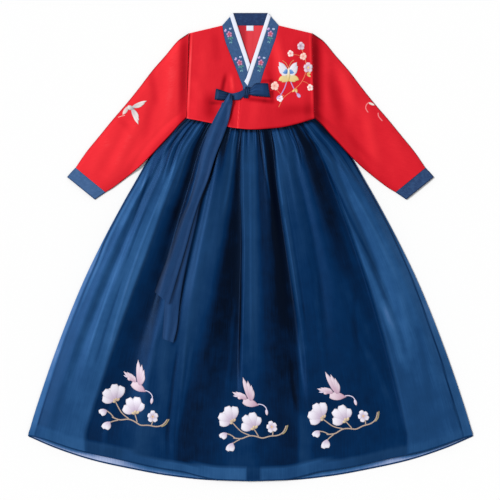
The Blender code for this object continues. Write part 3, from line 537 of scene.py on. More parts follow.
def lining_inset(x: Array, y: Array) -> Array:
    """How far the lining's side edge is inside the organza's."""
    return np.where(x > 0, LEFT_INSET.at(y), RIGHT_INSET.at(y))


def back_low(x: Array, y: Array) -> Array:
    """Underside of the skirt's back, with its soft creases."""
    return LAYER * ramp(277, 304, y) + rise(BACK_RIPPLES, x / SKIRT_HALF.at(y), y)


def gathers(share: Array, y: Array) -> tuple[Array, Array]:
    """What the gathers at the waist give, with a finer pucker between them.

    Args:
        share, y: Shares of the half width, and heights in plan.

    Returns:
        The height that they add, in metres, and the cloth's painted light and shade.
    """
    base, pucker, pucker_light_and_shade = 0.6, 0.45, 0.10
    down = SEAM_Y - y
    wave = pucker * np.sin(61 * np.pi * share + 2.1 * np.sin(9 * share)) * (1 - ramp(20, 115, down))
    return (base + wave) * MM + rise(GATHERS, share, down), pucker_light_and_shade * wave + shade(GATHERS, share, down)


def fold_lines(share: Array, y: Array) -> tuple[Array, Array]:
    """What the creased-over lines give at a place.

    Args:
        share, y: Shares of the half width, and heights in plan.

    Returns:
        The height that they add, in metres, and the cloth's painted light and shade.
    """
    places = [line.place(y) for line in FOLD_LINES]
    spans = []
    for i, (line, following) in enumerate(zip(FOLD_LINES, FOLD_LINES[1:])):
        across = np.clip((share - places[i]) / np.maximum(places[i + 1] - places[i], 0.01), 0, 1)
        spans.append(np.stack([
            mix(line.right_height * line.strength(y), following.left_height * following.strength(y), across),
            mix(line.tone(line.right_tones, y), following.tone(following.left_tones, y), across),
        ]))
    value = spans[0]
    for line, at, before, here in zip(FOLD_LINES[1:], places[1:], spans, spans[1:]):
        value = value + smooth(at - line.width, at + line.width, share) * (here - before)
    return value[0] * MM, value[1]


def folds(x: Array, y: Array) -> Array:
    """Reads the front's gathers, folds and creases together.

    Args:
        x, y: Places in plan.

    Returns:
        How high they stand above the layers under them.
    """
    share = x / SKIRT_HALF.at(y)
    level = RIDGE_HEIGHT.at(y)
    for valley in VALLEYS:
        level = level * (1 - valley.at(share, y))
    creased = (fold_lines(share, y)[0] + rise(RIPPLES, share, y)) * ramp(320, 250, y) * ramp(-585, -500, y)
    fade_from = mix(0.90, 0.78, ramp(140, 230, y))
    return np.maximum(level + creased + gathers(share, y)[0], 0.0) * smooth(1.0, fade_from, np.abs(share))


def beside(strip: Strip, x: Array, y: Array) -> Array:
    """How close a place is to the right of a strip of ribbon.

    Args:
        strip: The ribbon.
        x, y: Places in plan.

    Returns:
        1 along the ribbon's right edge, and 0 from 9 mm beyond it.
    """
    first, second = strip.edges(np.linspace(0, 1, 60))
    right = np.where(first[:, :1] > second[:, :1], first, second)
    right = right[np.argsort(right[:, 1])]
    away, end = x - np.interp(y, right[:, 1], right[:, 0]), right[0, 1]
    return ramp(-8, 0, away) * ramp(9, 2, away) * smooth(end - 4 * MM, end + 2 * MM, y)


@dataclass(frozen=True)
class FrontTone:
    """Tone of the front's organza, from its folds and from what lies under and over it.

    Sizes are in millimetres.  A pair is for the wearer's right and left.
    """

    # the tone of the folds, the gleam and the shadows of what lies over the organza are painted light and
    # shade; the pale band and rim are where no lining lies under it
    corner_dimming: float = 0.40
    top_dimming: float = 0.14
    band_middle: Pair = (0.76, 0.66)
    band_side: Pair = (0.62, 0.55)
    band_folds: float = 0.35
    band_lift: float = 10
    right_lift: Pair = (-5, 5)
    rim_high: Pair = (0.82, 0.76)
    rim_low: Pair = (1.08, 0.98)
    rim_dimming: float = 0.16
    dimming_start: Pair = (-270, -170)
    dimming_end: Pair = (-390, -290)
    gleam_width: float = 7
    lining_edge: Pair = (0.42, 0.55)
    lining_edge_width: float = 3
    # strengths of the painted shadows beside the ribbon's tails, under the jacket's hem and under the sleeves
    tail_shadow: float = 0.36
    hem_shadow: float = 0.55
    sleeve_shadow: float = 0.42

    def folded(self, share: Array, y: Array) -> Array:
        """Painted light and shade of the folds, which is weaker high up and weakest in the top corners.

        Args:
            share, y: Shares of the half width, and heights in plan.

        Returns:
            The tone.
        """
        tone = fold_lines(share, y)[1] + shade(RIPPLES, share, y) + gathers(share, y)[1]
        corner = ramp(150, 265, y) * smooth(0.62, 0.82, np.abs(share))
        tone = tone * (1 - self.corner_dimming * corner)
        return tone * (1 - self.top_dimming * ramp(200, 280, y) * (1 - corner))

    def band(self, x: Array, y: Array) -> Array:
        """Finds how clearly the pale band along the hem shows, where the organza has no lining under it.

        Args:
            x, y: Places in plan.

        Returns:
            How clearly, from 0 to 1.
        """
        share = np.abs(x / SKIRT_HALF.at(y))
        lift = self.band_lift * ramp(240, 90, np.abs(x))
        lift = lift + (x < 0) * mix(*self.right_lift, ramp(-230, -330, x))
        above = y - front_hem(x) - MM * lift
        band = smooth(LINING_ABOVE_HEM + 2 * MM, LINING_ABOVE_HEM - 3 * MM, above)
        at_fold = 0.75 * ramp(20, 15, np.abs(x - 7 * MM))
        return band * (1 - at_fold) * (1 - 0.35 * smooth(0.35, 0.6, share))

    def shadows(self, x: Array, y: Array) -> Array:
        """How dark the painted shadows of the ribbon's tails, the jacket's hem and the sleeves make the
        organza.

        Args:
            x, y: Places in plan.

        Returns:
            What they take from the tone.
        """
        lit = 0.6 * bump((y - 20 * MM) / (130 * MM))
        tails = np.maximum(beside(LONG_TAIL, x, y) * (1 - lit), beside(SHORT_TAIL, x, y))
        _, _, cuff_x, cuff_y = CUFF[0]
        slope = (UNDERARM_Y - cuff_y * MM) / (UNDERARM_X - cuff_x * MM)
        beyond = np.abs(x) - UNDERARM_X
        below = (UNDERARM_Y - y + beyond * slope) * 0.74
        hem = self.hem_shadow * ramp(11, 2, JACKET_HEM.at(x) - y)
        return self.tail_shadow * tails + hem + self.sleeve_shadow * ramp(19, 0, below) * ramp(-14, 0, beyond)

    def at(self, x: Array, y: Array) -> Array:
        """Reads the tone.

        Args:
            x, y: Places in plan.

        Returns:
            The tone, which is never below 0.
        """
        half = SKIRT_HALF.at(y)
        tone, band = self.folded(x / half, y), self.band(x, y)
        outward = smooth(0.2, 0.5, np.abs(x / half))
        bare = mix(by_side(self.band_middle, x), by_side(self.band_side, x), outward)
        tone = mix(tone, np.maximum(tone, 0) * self.band_folds + bare, band)
        inset = np.where(x > 0, LEFT_SEEN.at(y), RIGHT_SEEN.at(y))
        inside = half - np.abs(x) - inset
        gleam = bump((inside / MM - self.gleam_width) / self.gleam_width) * (x < 0)
        rim = mix(by_side(self.rim_high, x), by_side(self.rim_low, x), ramp(40, -40, y))
        rim = rim - self.rim_dimming * ramp(by_side(self.dimming_start, x), by_side(self.dimming_end, x), y)
        tone = mix(tone + RIGHT_GLEAM.at(y) * gleam, rim, ramp(0, -2, inside) * (1 - 0.5 * band))
        edge = by_side(self.lining_edge, x) * bump(inside / MM / self.lining_edge_width) * (1 - band)
        return np.maximum(tone - edge - self.shadows(x, y), 0)


def over_lining(x: Array, y: Array) -> Array:
    """1 where the linings lie under the front, and 0 beyond their edges."""
    beside_edge = smooth(0, lining_inset(x, y) - 2 * MM, SKIRT_HALF.at(y) - np.abs(x))
    return beside_edge * smooth(0, LINING_ABOVE_HEM - 2 * MM, y - front_hem(x))


def front_low(x: Array, y: Array) -> Array:
    """Underside of the skirt's front."""
    return back_low(x, y) + LAYER + 2 * LAYER * over_lining(x, y) + folds(x, y)


def skirt_top(x: Array, y: Array) -> Array:
    """Top of the skirt's front."""
    return front_low(x, y) + CLOTH


# --- relief of the jacket


@dataclass(frozen=True)
class Crease:
    """A crease in the jacket or a sleeve: x and y of both its ends, half width, height in mm, and tone."""

    start: Pair
    end: Pair
    half_width: float
    height: float
    # tone is the crease's painted light or shade
    tone: float

    def at(self, x: Array, y: Array) -> Array:
        """Reads the crease.

        Args:
            x, y: Places in plan.

        Returns:
            How strong it is there, from 0 to 1.
        """
        start, end = np.array(self.start) * MM, np.array(self.end) * MM
        line = end - start
        along = ((x - start[0]) * line[0] + (y - start[1]) * line[1]) / (line @ line)
        away = ((x - start[0]) * line[1] - (y - start[1]) * line[0]) / math.sqrt(line @ line)
        return bump(away / (self.half_width * MM)) * smooth(-0.2, 0.35, along) * smooth(1.2, 0.65, along)


# a raised crease is painted lighter and a sunk one darker; the rows with no height are painted shadows of the
# bow's loops and the long tail
JACKET_CREASES = tuple(Crease(*row) for row in (
    ((-145, 560), (-158, 290), 5, 1.4, 0.34), ((-142, 420), (-120, 366), 22, 0.9, 0.1),
    ((-62, 432), (-72, 380), 9, -1.4, -0.42), ((-48, 430), (-43, 386), 9, 1.4, 0.26),
    ((-100, 385), (-100, 314), 28, -0.9, -0.34), ((-88, 535), (-82, 460), 18, -0.5, -0.12),
    ((-112, 510), (-120, 410), 22, 0.8, 0.08), ((-27, 372), (-33, 286), 2.6, 0.6, 0.4),
    ((-50, 352), (-46, 296), 11, -0.6, -0.2), ((70, 338), (180, 346), 24, -0.9, -0.12),
    ((60, 530), (84, 405), 22, 1, 0.26), ((44, 445), (60, 395), 12, -0.5, -0.14),
    ((122, 515), (134, 430), 22, -0.9, -0.1), ((22, 390), (4, 290), 22, 0.9, 0.08),
    ((148, 560), (157, 290), 4, 1.2, 0.16), ((-14, 370), (60, 361), 10, 0, -0.4),
    ((51, 416), (55, 362), 9, 0, -0.42), ((4, 413), (56, 415), 7, 0, -0.26),
    ((-100, 359), (-52, 358), 8, 0, -0.22), ((-40, 366), (-66, 286), 8, 0, -0.24),
))
# the jacket's back is seen from below, where a lifted crease is a hollow, so these tones are painted shade;
# the last row, with no height, is the dark centre seam
BACK_CREASES = tuple(Crease(*row) for row in (
    ((-132, 520), (-70, 330), 20, 0.8, -0.18), ((-48, 540), (-30, 320), 16, 0.6, -0.12),
    ((-128, 400), (-100, 330), 13, 0.7, -0.16), ((36, 530), (62, 330), 20, 0.8, -0.16),
    ((140, 500), (104, 340), 16, 0.7, -0.2), ((0, 600), (0, 250), 2, 0, -0.28),
))
RIGHT_SLEEVE_CREASES = tuple(Crease(*row) for row in (
    ((-162, 570), (-168, 300), 20, -1.8, -0.5), ((-182, 545), (-214, 290), 32, 2.2, 0.1),
    ((-250, 450), (-232, 350), 17, -1.4, -0.13), ((-240, 375), (-264, 270), 18, -1.4, -0.11),
    ((-276, 330), (-350, 175), 24, 2.2, 0.1), ((-330, 325), (-292, 284), 14, -1, -0.08),
    ((-340, 290), (-405, 185), 26, 1.4, 0.08), ((-200, 320), (-330, 180), 18, 1, 0.02),
))
LEFT_SLEEVE_CREASES = tuple(Crease(*row) for row in (
    ((160, 580), (166, 270), 28, -2, -0.47), ((192, 500), (198, 340), 16, 1.2, 0.02),
    ((224, 460), (262, 330), 24, 2, 0.16), ((200, 430), (232, 295), 24, -1.3, -0.22),
    ((284, 350), (316, 195), 24, 1.6, 0.14), ((246, 305), (274, 230), 20, -1, -0.08),
    ((345, 285), (394, 195), 28, 1.3, 0.04), ((200, 320), (335, 180), 16, 1, -0.12),
))


def side_line(y: Array) -> Array:
    """Half width of the jacket at its armhole seams."""
    return mix(UNDERARM_X, SHOULDER_X, (y - UNDERARM_Y) / (SHOULDER_Y - UNDERARM_Y)) - GAP


def shoulder_line(x: Array) -> Array:
    """Height in plan of the shoulder seam."""
    return mix(NECK_Y, SHOULDER_Y, np.clip((np.abs(x) - NECK_HALF) / (SHOULDER_X - NECK_HALF), 0, 1))


def jacket_low(x: Array, y: Array) -> Array:
    """Underside of the jacket's fronts."""
    return mix(FRONT_MIDDLE.at(y), FRONT_SIDE.at(y), ramp(130, 156, np.abs(x)))


def over_low(x: Array, y: Array) -> Array:
    """Underside of the front and collar that lie over the others where they cross."""
    return jacket_low(x, y) + CROSSING_RISE * ramp(58, 32, x) * ramp(490, 462, y)


def jacket_creases(x: Array, y: Array) -> Array:
    """Height of the fronts' soft creases, which die out at the seams and the hem."""
    return rise(JACKET_CREASES, x, y) * ramp(0, 22, y - JACKET_HEM.at(x)) * ramp(0, 14, shoulder_line(x) - y)


def jacket_tone(x: Array, y: Array) -> Array:
    """Finds the fronts' tone, with painted light from one side and a painted highlight and shade at the hem.

    Args:
        x, y: Places in plan.

    Returns:
        The tone.
    """
    # the creases' tones are painted light and shade, side_light is painted light from the wearer's right,
    # corner_shade is painted shade low on the wearer's left front, and the hem gets a painted highlight on
    # the right and painted shade on the left
    cloth, side_light, corner_shade, hem_highlight_and_shade = 0.54, 0.06, 0.08, (-0.22, 0.25)
    tone = cloth + shade(JACKET_CREASES, x, y) + side_light * ramp(60, -160, x)
    hem = mix(*hem_highlight_and_shade, ramp(-40, 60, x)) * ramp(4, 1, y - JACKET_HEM.at(x))
    return tone - corner_shade * ramp(370, 335, y) * ramp(10, 90, x) - hem


def front_top(low: Height) -> Height:
    """Top of a front whose underside is low, with creases no deeper than the cloth."""
    return lambda x, y: low(x, y) + CLOTH + np.maximum(jacket_creases(x, y), -CLOTH)


def bow_bed(x: Array, y: Array) -> Array:
    """Where the ribbon tie lies on the jacket."""
    under = jacket_low(x, y) + LAYER + np.maximum(jacket_creases(x, y), 0)
    return mix(under, over_low(x, y) + COLLAR_CLOTH + GAP, ramp(-44, -34, x))


def garment_top(x: Array, y: Array) -> Array:
    """Top of the jacket where there is jacket, and of the skirt below it."""
    return np.where(y > JACKET_HEM.at(x) - 1 * MM, bow_bed(x, y) - GAP, skirt_top(x, y))


def draped(x: Array, y: Array, reach: float) -> Array:
    """Underside of a ribbon that bridges what lies within reach of it."""
    steps = np.linspace(-reach, reach, 5)
    return GAP + np.max([garment_top(x + across, y + along) for across in steps for along in steps], axis=0)


# --- finishes


TONE_TOP = 1.4
# frequency at which a wave texture's bands are one unit apart
ONE_BAND = 0.314


class Slot(Enum):
    """Material slots of the record."""

    ORGANZA = "organza"
    LINING = "skirt_lining"
    RED = "red_cloth"
    COLLAR = "collar_cloth"
    WHITE = "white_cloth"
    RIBBON = "ribbon"


def linear(colour: str) -> tuple[float, float, float, float]:
    """Turns an sRGB hex colour to linear, with an alpha of 1."""
    parts = [int(colour[i : i + 2], 16) / 255 for i in (1, 3, 5)]
    return *(part / 12.92 if part <= 0.04045 else ((part + 0.055) / 1.055) ** 2.4 for part in parts), 1.0


def new_material(name: str) -> tuple[Material, NodeTree]:
    """Starts a material.

    Args:
        name: The material's name.

    Returns:
        The material, and its empty tree of nodes.
    """
    material = bpy.data.materials.new(name)
    material.use_nodes = True
    material.node_tree.nodes.clear()
    return material, material.node_tree


def add_node(tree: NodeTree, kind: str, settings: dict | None = None, links: dict | None = None) -> Node:
    """Adds one node with its settings and links.

    Args:
        tree: The material's nodes.
        kind: Type of the node, without its ShaderNode prefix.
        settings: Values by the name of the node's property, or by its input's name or number.
        links: Output sockets by the name or number of the input that they feed.

    Returns:
        The new node.
    """
    node = tree.nodes.new("ShaderNode" + kind)
    for key, value in (settings or {}).items():
        if isinstance(key, str) and hasattr(node, key):
            setattr(node, key, value)
        else:
            node.inputs[key].default_value = value
    for key, socket in (links or {}).items():
        tree.links.new(socket, node.inputs[key])
    return node


def add_sum(tree: NodeTree, operation: str, *terms: NodeSocket | float) -> NodeSocket:
    """Adds a node that reckons with numbers.

    Args:
        tree: The material's nodes.
        operation: What it does with its terms.
        terms: The sockets and numbers, in the order of its inputs.

    Returns:
        The result.
    """
    numbers = {i: term for i, term in enumerate(terms) if isinstance(term, (int, float))}
    sockets = {i: term for i, term in enumerate(terms) if i not in numbers}
    return add_node(tree, "Math", {"operation": operation, **numbers}, sockets).outputs[0]


def add_bands(tree: NodeTree, places: NodeSocket, way: str, **settings: float) -> NodeSocket:
    """Adds bands one unit apart that run across X or Y, as threads and stitches do."""
    fixed = {"wave_type": "BANDS", "bands_direction": way, "Scale": ONE_BAND}
    return add_node(tree, "TexWave", fixed | settings, {0: places}).outputs["Fac"]


def add_relief(tree: NodeTree, height: NodeSocket, depth: float) -> NodeSocket:
    """Adds the normal of a relief that is depth mm deep."""
    return add_node(tree, "Bump", {"Strength": 0.5, "Distance": depth * MM}, {"Height": height}).outputs[0]


def add_colours(tree: NodeTree, share: NodeSocket, stops: Sequence[tuple[float, str]]) -> NodeSocket:
    """Adds colours by a share.

    Args:
        tree: The material's nodes.
        share: What picks the colour.
        stops: Places from 0 to 1 and their hex colours.

    Returns:
        The colour.
    """
    node = add_node(tree, "ValToRGB", links={0: share})
    elements = node.color_ramp.elements
    while len(elements) < len(stops):
        elements.new(0.5)
    for element, (place, colour) in zip(elements, stops):
        element.position = place
        element.color = linear(colour)
    return node.outputs[0]


@dataclass(frozen=True)
class ClothFinish:
    """A woven cloth: how it reflects, the colours that its tone goes through, and its threads.

    Sizes are in millimetres.  tone_stops go from the deepest tone to the lightest one.
    """

    name: str
    tone_stops: tuple[tuple[float, str], ...]
    roughness: float
    specular: float = 0.5
    specular_tint: str = "#FFFFFF"
    sheen: float = 0.2
    sheen_tint: str = "#FFFFFF"
    sheen_roughness: float = 0.4
    streak: Pair = (2.0, 40.0)
    streak_share: float = 0.08
    mottle: float = 25.0
    mottle_share: float = 0.06
    thread: float = 1.2
    thread_depth: float = 0.12
    twill: bool = False

    def make(self) -> Material:
        """Builds the material.

        Returns:
            A material that reads the cloth's own flat places, in metres, and its tone.
        """
        material, tree = new_material(self.name)
        flat = add_node(tree, "UVMap", {"uv_map": "flat"}).outputs[0]
        # the tone attribute carries painted light and shade as well as the cloth's own lighter and darker
        # parts
        tone = add_node(tree, "Attribute", {"attribute_name": "tone"}).outputs["Fac"]
        scale = (1 / (self.streak[0] * MM), 1 / (self.streak[1] * MM), 1)
        drawn = add_node(tree, "Mapping", {"Scale": scale}, {0: flat}).outputs[0]
        fine = {"noise_dimensions": "2D", "Scale": 1, "Detail": 2}
        streaks = add_node(tree, "TexNoise", fine, {0: drawn}).outputs[0]
        places = add_node(tree, "TexCoord").outputs["Object"]
        coarse = {"Scale": 1 / (self.mottle * MM), "Detail": 3, "Roughness": 0.55}
        mottled = add_node(tree, "TexNoise", coarse, {0: places}).outputs[0]
        for noise, share in ((streaks, self.streak_share), (mottled, self.mottle_share)):
            tone = add_sum(tree, "ADD", tone, add_sum(tree, "MULTIPLY_ADD", noise, share * 2, -share))
        stops = [(place / TONE_TOP, colour) for place, colour in self.tone_stops]
        colour = add_colours(tree, add_sum(tree, "MULTIPLY", tone, 1 / TONE_TOP), stops)
        reflection = {
            "Roughness": self.roughness, "Specular IOR Level": self.specular,
            "Specular Tint": linear(self.specular_tint), "Sheen Weight": self.sheen,
            "Sheen Tint": linear(self.sheen_tint), "Sheen Roughness": self.sheen_roughness,
        }
        links = {"Base Color": colour, "Normal": self.threads(tree, flat, streaks)}
        shader = add_node(tree, "BsdfPrincipled", reflection, links)
        add_node(tree, "OutputMaterial", links={0: shader.outputs[0]})
        return material

    def threads(self, tree: NodeTree, flat: NodeSocket, streaks: NodeSocket) -> NodeSocket:
        """Adds the relief of the threads and of the streaks along them.

        Args:
            tree: The material's nodes.
            flat: Places on the flat cloth, in metres.
            streaks: How thick the threads are.

        Returns:
            The normal.
        """
        size = 1 / (self.thread * MM)
        turn = {"Scale": (size, size, 1), "Rotation": (0, 0, math.radians(45 if self.twill else 0))}
        woven = add_node(tree, "Mapping", turn, {0: flat}).outputs[0]
        across, down = (add_bands(tree, woven, way, Distortion=0.6) for way in "XY")
        over = add_sum(tree, "ADD", across, down)
        return add_relief(tree, add_sum(tree, "ADD", over, streaks), self.thread_depth)


# Silk organza: a fine, stiff, sheer weave over a dark lining.  Its smooth threads throw a blue gleam
# along the folds' sides, and it looks lighter where nothing dark lies under it.
ORGANZA = ClothFinish(
    "navy_silk_organza",
    ((0.0, "#000004"), (0.10, "#000008"), (0.20, "#00122E"), (0.36, "#002146"), (0.55, "#113155"),
     (0.70, "#163A63"), (0.80, "#1F4671"), (0.95, "#2A5380"), (1.1, "#446593"), (1.4, "#B0BBDA")),
    roughness=0.40, specular=0.38, specular_tint="#5F93DC", sheen=0.02, sheen_tint="#3F6FB0",
    streak=(2.2, 60.0), streak_share=0.07, mottle=40, mottle_share=0.11, thread=1.2, thread_depth=0.08,
)
# Plain-woven polyester lining, smooth and dull.
LINING = ClothFinish(
    "navy_polyester_lining", ((0.0, "#040E1F"), (0.6, "#0A1F3E"), (1.0, "#122C4B")),
    roughness=0.6, specular=0.25, sheen=0.03, streak=(3, 30), streak_share=0.04, thread=1.2,
)
# Cotton and silk jacket cloth, close woven: a warm red with a dull bloom and slightly uneven threads.
RED = ClothFinish(
    "red_cotton_silk",
    ((0.0, "#5E0009"), (0.3, "#A80C1B"), (0.55, "#C41B28"), (0.8, "#DD2A33"), (1.0, "#EE5055")),
    roughness=0.66, specular=0.25, specular_tint="#FF7070", sheen=0.04, sheen_tint="#FF8080",
    streak=(1.6, 22), streak_share=0.05, mottle=30, mottle_share=0.05, thread=1.3, thread_depth=0.10,
)
# Satin-faced lining of the jacket, a softer rose red than its face.
RED_LINING = ClothFinish(
    "rose_red_lining_satin",
    ((0.0, "#6E0F1A"), (0.4, "#A0202C"), (0.6, "#C02A35"), (1.0, "#D9444C")),
    roughness=0.5, specular=0.3, specular_tint="#FF9090", sheen=0.05, sheen_tint="#FFA0A0",
    streak=(1.2, 30), streak_share=0.05, mottle=35, mottle_share=0.06, thread=1.2, thread_depth=0.06,
)
# Washed denim-navy cotton, twill woven, with paler threads where it is rubbed.
NAVY_COTTON = ClothFinish(
    "denim_navy_cotton_twill",
    ((0.0, "#0E1C38"), (0.25, "#182F57"), (0.45, "#2D4B73"), (0.6, "#385883"), (1.0, "#56739F")),
    roughness=0.75, specular=0.2, sheen=0.05, sheen_tint="#A8C0E8",
    streak=(2.5, 7), streak_share=0.14, mottle=9, mottle_share=0.12, thread=1.6, thread_depth=0.2, twill=True,
)
# Crisp white cotton, pressed flat, as the replaceable strip along a collar is.
WHITE_COTTON = ClothFinish(
    "crisp_white_cotton",
    ((0.0, "#A3A8BC"), (0.5, "#D4D8E5"), (1.0, "#E2E4EB")),
    roughness=0.6, specular=0.2, sheen=0.02, streak=(1.5, 12), streak_share=0.05, mottle=14,
    mottle_share=0.05, thread=1.2, thread_depth=0.08,
)
# Navy ribbon silk, close woven, with a soft gleam along its folds.
RIBBON = ClothFinish(
    "navy_ribbon_silk",
    ((0.0, "#071124"), (0.4, "#122D52"), (0.6, "#1B3C66"), (1.0, "#386092")),
    roughness=0.5, specular=0.3, specular_tint="#8FB0E8", sheen=0.05, sheen_tint="#8CA9DA",
    streak=(1.6, 30), streak_share=0.07, mottle=16, mottle_share=0.06, thread=1.2, thread_depth=0.1,
)


# --- making of cloth


def add_object(name: str, data: bpy.types.ID) -> Object:
    """Puts something new into the scene.

    Args:
        name: Its name.
        data: Its mesh, lamp or camera.

    Returns:
        The object.
    """
    made = bpy.data.objects.new(name, data)
    bpy.context.scene.collection.objects.link(made)
    return made


def place(piece: Object, slot: Slot, *nodes: str) -> Object:
    """Lets a piece ride on the garment and reports it.

    Args:
        piece: The piece.
        slot: The record's slot meant for it; not used.
        nodes: The nodes that it stands for.

    Returns:
        The piece.
    """
    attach(piece, "root")
    if nodes:
        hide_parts(*nodes)
    LOG.info("%s: %d faces", piece.name, len(piece.data.polygons))
    return piece


@dataclass
class Shell:
    """A closed thin wall of cloth, from a grid of points on its outer face.

    outer has rows x columns x 3 values.  flat holds the places on the flat cloth, in metres; on a ring,
    whose last column joins its first, it has one column more.
    """

    name: str
    outer: Array
    flat: Array
    thickness: float
    ring: bool = False
    faces_down: bool = False
    tone: Array | float = 0.5
    inner_tone: Array | float | None = None

    SHARP = math.radians(65)

    def normals(self) -> tuple[Array, bool]:
        """Finds the outward normals at the grid's points.

        Returns:
            The normals, and whether they are turned against the grid's own direction.
        """
        grid = self.outer
        across = np.roll(grid, -1, 1) - np.roll(grid, 1, 1) if self.ring else np.gradient(grid, axis=1)
        normal = np.cross(across, np.gradient(grid, axis=0))
        normal /= np.maximum(np.linalg.norm(normal, axis=-1, keepdims=True), 1e-12)
        if self.ring:
            turned = np.sum(normal * (grid - grid.mean(axis=1, keepdims=True))) < 0
        else:
            turned = (normal[..., 2].mean() < 0) != self.faces_down
        return (-normal if turned else normal), bool(turned)

    def faces(self) -> list[Array]:
        """Lists the wall's faces by their (row, column, side) corners.

        Returns:
            The faces of the outer side, of the inner side, and of each rim.
        """
        rows, columns = self.outer.shape[:2]
        spans = np.arange(columns if self.ring else columns - 1)
        i, j = (steps.ravel() for steps in np.meshgrid(np.arange(rows - 1), spans, indexing="ij"))
        outer = [(i, j, 0), (i, j + 1, 0), (i + 1, j + 1, 0), (i + 1, j, 0)]
        quads = [self.corners(outer), self.corners([(row, column, 1) for row, column, _ in outer[::-1]])]
        for row, sides in ((0, (1, 1, 0, 0)), (rows - 1, (0, 0, 1, 1))):
            edge, runs = np.full_like(spans, row), (spans, spans + 1, spans + 1, spans)
            quads.append(self.corners([(edge, run, side) for run, side in zip(runs, sides)]))
        if not self.ring:
            steps = np.arange(rows - 1)
            for column, sides in ((0, (0, 0, 1, 1)), (columns - 1, (1, 1, 0, 0))):
                edge, runs = np.full_like(steps, column), (steps, steps + 1, steps + 1, steps)
                quads.append(self.corners([(run, edge, side) for run, side in zip(runs, sides)]))
        return quads

    @staticmethod
    def corners(places: Sequence[tuple[Array, Array, int]]) -> Array:
        """Stacks four (row, column, side) places into one array of faces."""
        return np.stack([np.stack([i, j, np.full_like(i, side)], -1) for i, j, side in places], 1)

    def build(self, material: Material, inside: Material | None = None) -> Object:
        """Makes the object.

        Args:
            material: Finish of the outer face and the rims.
            inside: Finish of the inner face where it isn't the same.

        Returns:
            The closed shell, at the origin.
        """
        rows, columns = self.outer.shape[:2]
        normal, turned = self.normals()
        points = np.stack([self.outer, self.outer - normal * self.thickness]).reshape(-1, 3)
        quads = self.faces()
        corners = np.concatenate(quads)
        if turned:
            corners = corners[:, ::-1]
        row, column, side = np.moveaxis(corners, -1, 0)
        mesh = bpy.data.meshes.new(self.name)
        mesh.from_pydata(points.tolist(), [], ((side * rows + row) * columns + column % columns).tolist())
        layer = mesh.uv_layers.new(name="flat")
        layer.data.foreach_set("uv", self.flat[row, column].astype(np.float32).ravel())
        tones = [self.tone, self.tone if self.inner_tone is None else self.inner_tone]
        tones = np.concatenate([np.broadcast_to(tone, (rows, columns)).ravel() for tone in tones])
        values = mesh.attributes.new("tone", "FLOAT", "POINT")
        values.data.foreach_set("value", tones.astype(np.float32))
        mesh.materials.append(material)
        if inside:
            mesh.materials.append(inside)
            index = np.zeros(len(corners), np.int32)
            index[len(quads[0]) : 2 * len(quads[0])] = 1
            mesh.polygons.foreach_set("material_index", index)
        mesh.shade_smooth()
        mesh.set_sharp_from_angle(angle=self.SHARP)
        mesh.validate()
        return add_object(self.name, mesh)


def lifted(plan: Array, height: Array) -> Array:
    """Joins points in plan with their heights."""
    return np.concatenate([plan, height[..., None]], -1)


SIDES = "first_column last_column"
ALL_EDGES = "first_row last_row " + SIDES


def rolled(plan: Array, depth: float, reach: float, edges: str) -> Array:
    """How far a panel's edges roll down.

    Args:
        plan: The panel's points in plan.
        depth: How far the very edge goes down, in millimetres.
        reach: How far in from the edge the roll starts, in millimetres.
        edges: Any of "first_row", "last_row", "first_column" and "last_column".

    Returns:
        The drop at each point, in metres.
    """
    along, across = lengths(plan), lengths(plan, 1)
    distances = {
        "first_row": along, "last_row": along[-1:] - along,
        "first_column": across, "last_column": across[:, -1:] - across,
    }
    drop = np.zeros(plan.shape[:2])
    for edge in edges.split():
        share = np.clip(1 - distances[edge] / (reach * MM), 0, 1)
        drop = np.maximum(drop, depth * MM * (1 - np.sqrt(1 - share**2)))
    return drop


def near_edges(count: int, pull: float = 0.6) -> Array:
    """Shares from 0 to 1 that lie closer together near both ends."""
    even = np.linspace(0, 1, count + 1)
    return mix(even, 0.5 - 0.5 * np.cos(np.pi * even), pull)


def flat_band(plan: Array, even: bool = False) -> Array:
    """Places on a flat band, by the distance across it and along its middle.

    Args:
        plan: The band's points in plan.
        even: Whether its rows count as evenly spaced.

    Returns:
        The places, in metres.
    """
    along = lengths(plan[:, plan.shape[1] // 2])[:, None]
    if even:
        along = by_row(len(plan) - 1) * along[-1]
    across = by_column(plan.shape[1] - 1) * np.linalg.norm(plan[:, -1:] - plan[:, :1], axis=-1)
    return np.stack([across, along + 0 * across], -1)


